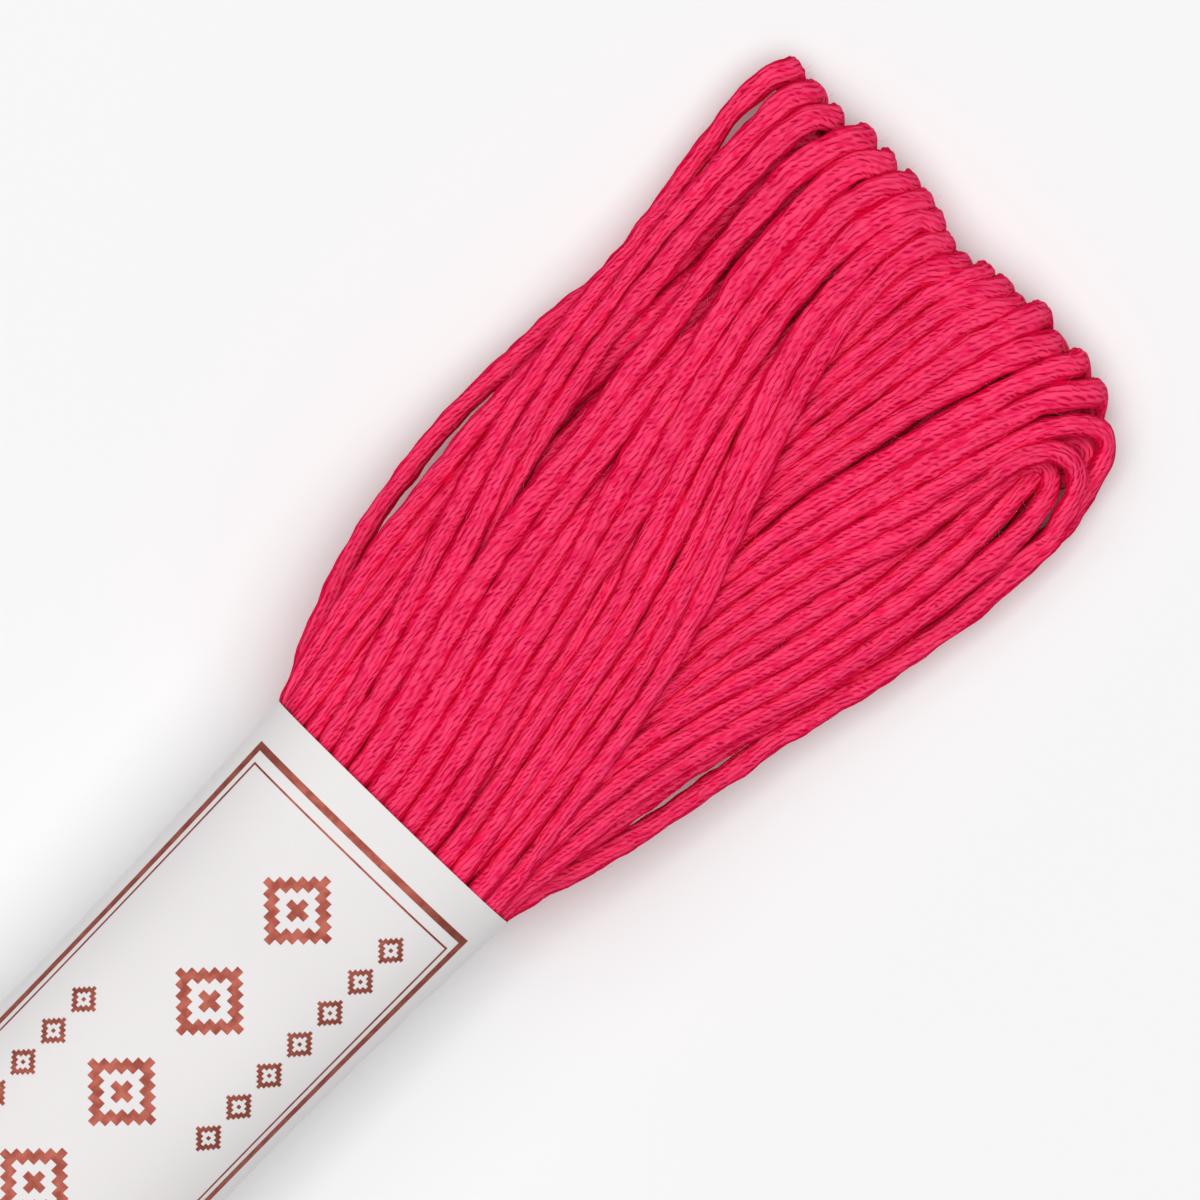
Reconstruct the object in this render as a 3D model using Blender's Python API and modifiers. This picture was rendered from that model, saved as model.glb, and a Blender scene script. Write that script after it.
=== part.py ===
"""A skein of embroidery floss, pulled flat and held at its waist by a paper band.

Metres, +Z up. +X runs along the skein towards its spread end and +Y to the left of it. The
origin is on the surface that the skein lies on, under the middle of the band.

The wound floss is one solid: a loft from tip to tip whose long lines follow the strands. Where
the strands leave the band they fan out in three groups, an upper one that lies over the others
and ends in a low step, an inner one and an outer one. Every strand turns back at its own tip.
"""

import math
from collections.abc import Callable
from dataclasses import dataclass, fields

import bmesh
import bpy
from mathutils import Matrix, Vector

MM = 0.001

# Driving dimensions.
BAND_LENGTH = 51.0 * MM
BAND_WALL = 1.0 * MM
BAND_SQUARENESS = 2.15
BAND_FLAT_CUT = 0.35 * MM
BAND_POINTS = 48
PIECE_GAP = 0.3 * MM
STRAND_WIDTH = 1.45 * MM
GROOVE_DEPTH = 0.42 * MM
NOTCH_TO_GROOVE = 1.9
NEXT_TO_GROOVE = 0.22
EDGE_LIP = 0.15 * MM
HOLLOW_REACH = 3.2 * MM
GROOVE_ANGLE = math.radians(60.0)
SPREAD_SWING = math.radians(1.15)

# How many strands show on top in each group, from the left edge to the right one.
STRANDS = {"upper": 9, "inner": 9, "outer": 4}

# One strand's lines on top and on the underside: share of its width, and if it's a groove.
TOP_PATTERN = ((NEXT_TO_GROOVE, False), (1.0 - NEXT_TO_GROOVE, False), (1.0, True))
UNDER_PATTERN = ((0.5, False), (1.0, True))

# Colours, linear.
FLOSS_COLOUR = (0.78, 0.018, 0.083, 1.0)
PAPER_COLOUR = (0.82, 0.79, 0.79, 1.0)


@dataclass(frozen=True)
class BandRow:
    """One section of the band, in millimetres: place along it, half width and height."""

    along: float
    half_width: float
    height: float


@dataclass(frozen=True)
class FanRow:
    """One section across a fan, in millimetres, at a distance from the band's mouth.

    left and right are its edges, step the end of the upper group, fork the line between the
    inner and outer groups, top the crown's height, side the height of its widest point, base
    the underside's height, rise the height of the step, hollow the depth of the trough at the
    fork, and square how boxy the section is.
    """

    reach: float
    left: float
    step: float
    fork: float
    right: float
    top: float
    side: float
    base: float
    rise: float
    hollow: float
    square: float


@dataclass(frozen=True)
class TipRow:
    """How far from the mouth, in millimetres, the strands turn back at a place across."""

    across: float
    reach: float


@dataclass(frozen=True)
class NoseRow:
    """How thick the last stretch of a fan is: share of the way to the tip, share of height."""

    way: float
    thickness: float


BAND_ROWS = (
    BandRow(-25.5, 10.0, 11.2),
    BandRow(-18.0, 9.7, 11.7),
    BandRow(-9.0, 9.4, 12.1),
    BandRow(0.0, 9.3, 12.2),
    BandRow(9.0, 9.4, 12.1),
    BandRow(18.0, 9.7, 11.7),
    BandRow(25.5, 10.0, 11.2),
)

SPREAD_ROWS = (
    FanRow(0.8, 9.9, -8.0, -8.6, -9.8, 10.9, 5.6, 0.4, 0.0, 0.0, 2.15),
    FanRow(5.0, 11.9, -8.3, -8.8, -11.4, 11.0, 4.4, 0.1, 0.2, 0.0, 2.15),
    FanRow(10.0, 13.6, -8.0, -8.5, -12.9, 10.6, 2.9, 0.0, 0.6, 0.0, 2.1),
    FanRow(16.0, 14.5, -7.5, -8.2, -14.2, 9.9, 1.6, 0.0, 1.0, 0.0, 2.1),
    FanRow(20.0, 14.8, -6.6, -8.9, -15.1, 9.3, 1.2, 0.0, 1.2, 0.0, 2.1),
    FanRow(24.0, 14.6, -5.5, -10.4, -16.2, 8.7, 1.0, 0.0, 1.3, 0.1, 2.1),
    FanRow(28.0, 14.4, -4.2, -11.6, -17.4, 8.2, 0.9, 0.0, 1.3, 0.2, 2.1),
    FanRow(32.0, 13.7, -2.7, -12.4, -18.1, 7.8, 0.9, 0.0, 1.3, 0.4, 2.1),
    FanRow(36.0, 13.6, -1.3, -12.9, -18.8, 7.4, 0.8, 0.0, 1.2, 0.7, 2.2),
    FanRow(40.0, 14.1, -0.1, -13.6, -19.1, 7.0, 0.8, 0.0, 0.8, 1.1, 2.2),
    FanRow(44.0, 14.7, -0.1, -14.4, -18.8, 6.5, 0.9, 0.0, 0.3, 1.2, 2.3),
    FanRow(47.0, 15.0, -0.6, -14.8, -18.3, 6.1, 1.1, 0.0, 0.0, 0.6, 2.5),
    FanRow(52.0, 14.6, -1.2, -14.9, -17.9, 5.6, 1.4, 0.0, 0.0, 0.0, 2.8),
)

SPREAD_TIPS = (
    TipRow(-17.9, 46.4),
    TipRow(-17.0, 47.6),
    TipRow(-16.0, 48.4),
    TipRow(-14.2, 49.7),
    TipRow(-12.3, 50.6),
    TipRow(-10.4, 50.2),
    TipRow(-8.3, 51.2),
    TipRow(-5.5, 50.7),
    TipRow(-2.0, 50.0),
    TipRow(0.5, 50.6),
    TipRow(3.0, 51.4),
    TipRow(7.1, 51.7),
    TipRow(9.5, 51.3),
    TipRow(13.6, 51.9),
    TipRow(14.6, 51.0),
)

GATHERED_ROWS = (
    FanRow(0.6, 9.9, -4.0, -7.6, -9.8, 10.9, 5.6, 0.4, 0.0, 0.0, 2.15),
    FanRow(6.0, 11.1, -4.6, -8.6, -10.9, 10.9, 4.2, 0.1, 0.2, 0.0, 2.15),
    FanRow(12.0, 12.3, -4.4, -9.2, -12.0, 10.3, 2.8, 0.0, 0.6, 0.0, 2.1),
    FanRow(18.0, 13.1, -3.4, -9.4, -13.0, 9.5, 1.7, 0.0, 0.9, 0.0, 2.1),
    FanRow(25.0, 13.6, -1.8, -9.4, -13.8, 8.6, 1.2, 0.0, 1.0, 0.3, 2.1),
    FanRow(31.0, 13.8, -0.6, -9.2, -14.2, 7.8, 1.0, 0.0, 0.7, 0.4, 2.2),
    FanRow(36.0, 13.6, 0.0, -9.0, -14.0, 7.2, 1.1, 0.0, 0.2, 0.2, 2.4),
    FanRow(41.0, 13.0, 0.2, -8.8, -13.2, 6.6, 1.4, 0.0, 0.0, 0.0, 2.8),
)

GATHERED_TIPS = (
    TipRow(-13.2, 38.2),
    TipRow(-11.5, 39.6),
    TipRow(-7.0, 40.3),
    TipRow(-2.5, 41.0),
    TipRow(2.0, 40.5),
    TipRow(6.5, 41.2),
    TipRow(10.5, 40.2),
    TipRow(13.0, 38.6),
)

NOSE_ROWS = (
    NoseRow(0.36, 1.0),
    NoseRow(0.66, 0.96),
    NoseRow(0.84, 0.82),
    NoseRow(0.95, 0.52),
    NoseRow(1.0, 0.14),
)
NOSE_MIDDLE = 0.45
NOSE_START = {"spread": 42.0, "gathered": 32.0}
STATION_STEP = {"spread": 3.0, "gathered": 4.0}
WAIST_PLACES = (-1.0, -0.5, 0.0, 0.5, 1.0)


def read_row(rows: tuple, key: str, place: float) -> BandRow | FanRow | TipRow:
    """Returns a row at any place, on a smooth curve through the table's rows.

    Args:
        rows: The table, in rising order of key.
        key: The column that place is measured in.
        place: The value of that column to read at.

    Returns:
        A row of the same kind. Beyond the table's ends it's the first or last row.
    """
    places = [getattr(row, key) for row in rows]
    if place <= places[0]:
        return rows[0]
    if place >= places[-1]:
        return rows[-1]
    at = max(i for i, value in enumerate(places) if value <= place)
    low, high = rows[at], rows[at + 1]
    before = rows[max(at - 1, 0)]
    after = rows[min(at + 2, len(rows) - 1)]
    span = places[at + 1] - places[at]
    share = (place - places[at]) / span

    def smooth(column: str) -> float:
        """Hermite curve with the slopes of the neighbouring rows."""
        start, end = getattr(low, column), getattr(high, column)
        rise_in = (end - getattr(before, column)) / (getattr(high, key) - getattr(before, key))
        rise_out = (getattr(after, column) - start) / (getattr(after, key) - getattr(low, key))
        cube, square = share**3, share**2
        return (
            (2 * cube - 3 * square + 1) * start
            + (cube - 2 * square + share) * span * rise_in
            + (3 * square - 2 * cube) * end
            + (cube - square) * span * rise_out
        )

    return type(low)(*(smooth(field.name) for field in fields(low)))


def superellipse(share: float, squareness: float) -> float:
    """Height of a unit superellipse at a place between -1 and 1 across it."""
    return (1.0 - min(abs(share), 1.0) ** squareness) ** (1.0 / squareness)


def long_lines(pattern: tuple[tuple[float, bool], ...]) -> list[tuple[str, float, bool]]:
    """Lists the lines that run along the strands, from the left edge to the right one.

    Args:
        pattern: One strand's lines: their share of its width, and whether each is a groove.

    Returns:
        For each line its group, its share of the group's width, and whether it's a groove.
        The last groove is left out, because the right edge takes its place.
    """
    lines = []
    for group, strands in STRANDS.items():
        for strand in range(strands):
            lines += [(group, (strand + share) / strands, groove) for share, groove in pattern]
    return lines[:-1]


def line_across(row: FanRow, group: str, share: float) -> float:
    """Place across the fan, in millimetres, of a long line in one of the three groups."""
    edges = {
        "upper": (row.left, row.step),
        "inner": (row.step, row.fork),
        "outer": (row.fork, row.right),
    }
    start, end = edges[group]
    return start + (end - start) * share


def groove_depth(row: FanRow, group: str) -> float:
    """Depth of a group's grooves, in millimetres, less where its strands are squeezed."""
    width = abs(line_across(row, group, 1.0) - line_across(row, group, 0.0)) / STRANDS[group]
    return GROOVE_DEPTH / MM * min(1.0, width * MM / STRAND_WIDTH)


def fan_ring(row: FanRow, thickness: float, reach_at: Callable, side: float) -> list[Vector]:
    """Makes the points around one section of a fan.

    Args:
        row: The section's sizes.
        thickness: Share of the full height, under 1 where the strands turn back.
        reach_at: Gives a line's distance from the mouth, in millimetres, from its group, its
            share of the group's width and whether it's a groove.
        side: 1 for the spread end, -1 for the gathered end.

    Returns:
        The left edge, the top lines, the right edge and the underside's lines, in order.
    """
    centre = (row.left + row.right) / 2
    half = (row.left - row.right) / 2
    base = max(row.base, 0.0)
    middle = (row.top + base) * NOSE_MIDDLE
    edge_z = middle + (row.side - middle) * thickness

    def place(line: tuple[str, float, bool], on_top: bool) -> tuple[float, float, float]:
        """Reach, place across and height of one line's point."""
        group, share, groove = line
        across = line_across(row, group, share)
        arch = superellipse((across - centre) / half, row.square)
        depth = groove_depth(row, group) * arch if groove else 0.0
        if on_top:
            height = row.side + (row.top - row.side) * arch - depth
            if group != "upper":
                from_fork = abs(across - row.fork) * MM / HOLLOW_REACH
                height -= row.rise * arch + row.hollow * max(0.0, 1.0 - from_fork)
            height = max(height, row.side + EDGE_LIP / MM)
        else:
            height = row.side - (row.side - base) * arch + depth
        return reach_at(group, share, groove), across, middle + (height - middle) * thickness

    left_edge = (reach_at("upper", 0.0, False), row.left, edge_z)
    right_edge = (reach_at("outer", 1.0, False), row.right, edge_z)
    top = [place(line, True) for line in long_lines(TOP_PATTERN)]
    under = [place(line, False) for line in long_lines(UNDER_PATTERN)]
    turn = Matrix.Rotation(SPREAD_SWING if side > 0 else 0.0, 3, "Z")
    mouth = Vector((side * BAND_LENGTH / 2, 0.0, 0.0))
    points = [left_edge, *top, right_edge, *reversed(under)]
    return [mouth + turn @ (Vector((side * x, y, z)) * MM) for x, y, z in points]


def fan_rings(name: str, rows: tuple, tips: tuple, side: float) -> list[list[Vector]]:
    """Makes all the sections of a fan, from the band's mouth to the tips."""
    last = rows[-1]
    start = NOSE_START[name]

    def tip_reach(group: str, share: float, groove: bool) -> float:
        """Where a line ends. A groove ends short of its strands, which makes the scallops."""
        across = line_across(last, group, share)
        notch = NOTCH_TO_GROOVE * groove_depth(last, group) if groove else 0.0
        return read_row(tips, "across", across).reach - notch

    steps = round((start - rows[0].reach) / STATION_STEP[name])
    rings = []
    for step in range(steps + 1):
        reach = rows[0].reach + (start - rows[0].reach) * step / steps
        rings.append(fan_ring(read_row(rows, "reach", reach), 1.0, lambda *line: reach, side))
    for nose in NOSE_ROWS:
        row = read_row(rows, "reach", start + (last.reach - start) * nose.way)

        def reach_at(*line) -> float:
            """A line's share of the way from where the nose starts to its own tip."""
            return start + (tip_reach(*line) - start) * nose.way

        rings.append(fan_ring(row, nose.thickness, reach_at, side))
    return rings


def waist_ring(along: float) -> list[Vector]:
    """Makes the points around the floss inside the band, clear of its wall."""
    row = read_row(BAND_ROWS, "along", along / MM)
    inset = (BAND_WALL + PIECE_GAP) / MM
    half = row.half_width - inset
    low, high = inset, row.height - inset
    middle = (low + high) / 2
    mouth = SPREAD_ROWS[0]

    def place(line: tuple[str, float, bool], reach: float) -> Vector:
        """A line's point, reach above the middle or, if negative, below it."""
        across = line_across(mouth, line[0], line[1]) / mouth.left
        arch = superellipse(across, BAND_SQUARENESS)
        return Vector((along, across * half * MM, (middle + reach * arch) * MM))

    top = [place(line, high - middle) for line in long_lines(TOP_PATTERN)]
    under = [place(line, low - middle) for line in long_lines(UNDER_PATTERN)]
    left_edge = Vector((along, half * MM, middle * MM))
    right_edge = Vector((along, -half * MM, middle * MM))
    return [left_edge, *top, right_edge, *reversed(under)]


def close_end(model: bmesh.types.BMesh, ring: list) -> None:
    """Closes an end of the loft, from each strand's top lines to its line underneath."""
    strands = sum(STRANDS.values())
    last = strands * len(TOP_PATTERN)
    top = ring[: last + 1]
    under = [ring[0], *reversed(ring[last:])]
    for strand in range(strands):
        start, first, second, end = top[3 * strand : 3 * strand + 4]
        low_start, crest, low_end = under[2 * strand : 2 * strand + 3]
        left = (start, first, crest, low_start)
        right = (second, end, low_end, crest)
        for corners in (left, (first, second, crest), right):
            model.faces.new(list(dict.fromkeys(corners)))


def loft(rings: list[list[Vector]], name: str) -> bpy.types.Mesh:
    """Skins a row of sections that have equal numbers of points, and closes both ends."""
    mesh = bpy.data.meshes.new(name)
    model = bmesh.new()
    verts = [[model.verts.new(point) for point in ring] for ring in rings]
    count = len(rings[0])
    for ring, following in zip(verts, verts[1:]):
        for i in range(count):
            j = (i + 1) % count
            model.faces.new((ring[i], ring[j], following[j], following[i]))
    close_end(model, verts[0])
    close_end(model, verts[-1])
    bmesh.ops.recalc_face_normals(model, faces=model.faces)
    model.to_mesh(mesh)
    model.free()
    mesh.shade_smooth()
    mesh.set_sharp_from_angle(angle=GROOVE_ANGLE)
    return mesh


def make_floss(material: bpy.types.Material) -> bpy.types.Object:
    """Makes the wound floss: the gathered end, the waist in the band and the spread end."""
    mouth = BAND_LENGTH / 2
    inside = [(mouth + PIECE_GAP) * share for share in WAIST_PLACES]
    gathered = fan_rings("gathered", GATHERED_ROWS, GATHERED_TIPS, -1.0)
    spread = fan_rings("spread", SPREAD_ROWS, SPREAD_TIPS, 1.0)
    rings = [*reversed(gathered), *(waist_ring(place) for place in inside), *spread]
    mesh = loft(rings, "floss_skein")
    mesh.materials.append(material)
    return bpy.data.objects.new("floss_skein", mesh)


def make_band(material: bpy.types.Material) -> bpy.types.Object:
    """Makes the paper band: an open tube, flat underneath, with Solidify for its wall."""
    mesh = bpy.data.meshes.new("paper_band")
    model = bmesh.new()
    rings = []
    for row in BAND_ROWS:
        ring = []
        middle = row.height / 2
        for step in range(BAND_POINTS):
            angle = 2 * math.pi * step / BAND_POINTS
            across = math.copysign(abs(math.cos(angle)) ** (2 / BAND_SQUARENESS), math.cos(angle))
            up = math.copysign(abs(math.sin(angle)) ** (2 / BAND_SQUARENESS), math.sin(angle))
            height = middle + up * (middle + BAND_FLAT_CUT / MM)
            place = Vector((row.along, across * row.half_width, min(max(height, 0.0), row.height)))
            ring.append(model.verts.new(place * MM))
        rings.append(ring)
    for ring, following in zip(rings, rings[1:]):
        for i in range(BAND_POINTS):
            j = (i + 1) % BAND_POINTS
            model.faces.new((ring[i], following[i], following[j], ring[j]))
    bmesh.ops.recalc_face_normals(model, faces=model.faces)
    model.to_mesh(mesh)
    model.free()
    mesh.shade_smooth()
    mesh.materials.append(material)
    band = bpy.data.objects.new("paper_band", mesh)
    wall = band.modifiers.new("wall", "SOLIDIFY")
    wall.thickness = BAND_WALL
    wall.offset = -1.0
    wall.use_even_offset = True
    return band


def make_material(name: str, colour: tuple, roughness: float, sheen: float) -> bpy.types.Material:
    """Makes a plain Principled material."""
    material = bpy.data.materials.new(name)
    material.use_nodes = True
    shader = material.node_tree.nodes["Principled BSDF"]
    shader.inputs["Base Color"].default_value = colour
    shader.inputs["Roughness"].default_value = roughness
    shader.inputs["Metallic"].default_value = 0.0
    shader.inputs["Sheen Weight"].default_value = sheen
    return material


def main() -> None:
    """Clears the scene and builds the skein under one empty."""
    for item in list(bpy.data.objects):
        bpy.data.objects.remove(item, do_unlink=True)
    collection = bpy.data.collections.new("embroidery_floss_skein")
    bpy.context.scene.collection.children.link(collection)
    root = bpy.data.objects.new("skein_root", None)
    collection.objects.link(root)
    pieces = (
        make_floss(make_material("crimson_cotton", FLOSS_COLOUR, 0.9, 0.3)),
        make_band(make_material("coated_paper", PAPER_COLOUR, 0.45, 0.0)),
    )
    for piece in pieces:
        collection.objects.link(piece)
        piece.parent = root


main()
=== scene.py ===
"""Looks of a skein of embroidery floss that a paper band holds at its waist.

The scene is in metres. Lengths in this script are in mm, save where they're said to be in
metres. +X runs along the skein to its spread end, +Y to its left and +Z up. A place on a fan is
given as its reach, the distance from the band's mouth, its across, the distance to the left of
the middle, and its height. The floss is laid as soft cords: the ones that show follow listed
routes, the others find their own place beneath them, and each cord turns back at the tips.
"""

import logging
import math
from collections.abc import Callable, Iterable
from dataclasses import dataclass, field
from enum import Enum

import bpy
import numpy as np
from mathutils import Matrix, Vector
from mathutils.bvhtree import BVHTree


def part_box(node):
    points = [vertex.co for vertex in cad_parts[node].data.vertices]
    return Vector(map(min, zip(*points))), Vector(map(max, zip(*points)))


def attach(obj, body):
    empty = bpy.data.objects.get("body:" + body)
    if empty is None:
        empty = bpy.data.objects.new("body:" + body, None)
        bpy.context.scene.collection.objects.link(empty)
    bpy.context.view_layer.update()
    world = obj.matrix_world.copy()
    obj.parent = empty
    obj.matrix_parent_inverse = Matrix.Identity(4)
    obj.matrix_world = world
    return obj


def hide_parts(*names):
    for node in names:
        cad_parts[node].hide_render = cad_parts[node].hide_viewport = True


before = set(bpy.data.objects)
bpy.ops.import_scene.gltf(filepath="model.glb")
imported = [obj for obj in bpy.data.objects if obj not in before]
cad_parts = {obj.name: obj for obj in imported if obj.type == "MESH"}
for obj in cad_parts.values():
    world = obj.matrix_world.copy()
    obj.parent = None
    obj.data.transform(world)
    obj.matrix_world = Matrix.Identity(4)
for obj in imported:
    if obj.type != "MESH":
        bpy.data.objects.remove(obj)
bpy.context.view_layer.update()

LOG = logging.getLogger("skein")
MM = 0.001
SEED = 11
CURVE_STEP = 0.15
SHARP_ANGLE = math.radians(40)
TURN = 2 * math.pi
CORD_MAP = "cord"
TONE = "tone"
SHADED_FLANK = "flank"
FLOAT = "NodeSocketFloat"
VECTOR = "NodeSocketVector"
GEOMETRY = "NodeSocketGeometry"
MATERIAL = "NodeSocketMaterial"
Array = np.ndarray
Piece = bpy.types.Object
Material = bpy.types.Material
Tree = bpy.types.NodeTree
Socket = bpy.types.NodeSocket
Pair = tuple[float, float]
Triple = tuple[float, float, float]
Colour = tuple[float, float, float, float]
Floats = tuple[float, ...]


class Layer(Enum):
    """Where a strand lies at the spread tips, which says how its loop turns back."""

    TOP = "top"
    SECOND = "second"
    CORE = "core"
    THIRD = "third"
    BOTTOM = "bottom"
    FLAT = "flat"


class Detail(Enum):
    """How finely a cord is modelled: spacing of its rings in mm, and points for each ply."""

    SHOWN = (0.6, 3)
    FAR = (0.9, 2)
    DEEP = (1.1, 1)

    @property
    def spacing(self) -> float:
        """Distance between rings."""
        return self.value[0]

    @property
    def ply_points(self) -> int:
        """Points round each ply."""
        return self.value[1]


@dataclass(frozen=True)
class Route:
    """One strand laid on the spread fan.

    points are (reach, across, below), where below is how far the strand's top lies under the
    crown of the skein and is left out where it's nothing. tip is the (reach, across) of the
    outer edge of its turn, and under is how far to the left of the tip the strand that comes
    back lies.
    """

    name: str
    layer: Layer
    points: tuple[Floats, ...]
    tip: Pair | None = None
    under: float = -0.9

    def places(self) -> list[Triple]:
        """The points with every depth filled in."""
        return [(*point, 0.0)[:3] for point in self.points]


@dataclass(frozen=True)
class FlatTurn:
    """A loop that turns back in the plane of the skein: two strands and the bend between.

    bend holds (reach, across, height) in mm from the end of the first strand to the start of
    the second one. last is the reach at which both strands stop being laid as strands.
    """

    first: str
    second: str
    last: float
    bend: tuple[Triple, ...]


@dataclass(frozen=True)
class Opening:
    """A narrow gap between two strands: (reach, across) down its middle.

    through says whether the gap goes all the way down to the ground. free_side is the side
    where the strands without a given route keep: 1 for the left, -1 for the right, and 0
    for wherever they began.
    """

    points: tuple[Pair, ...]
    half_width: float = 0.16
    through: bool = True
    free_side: int = 0


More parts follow.
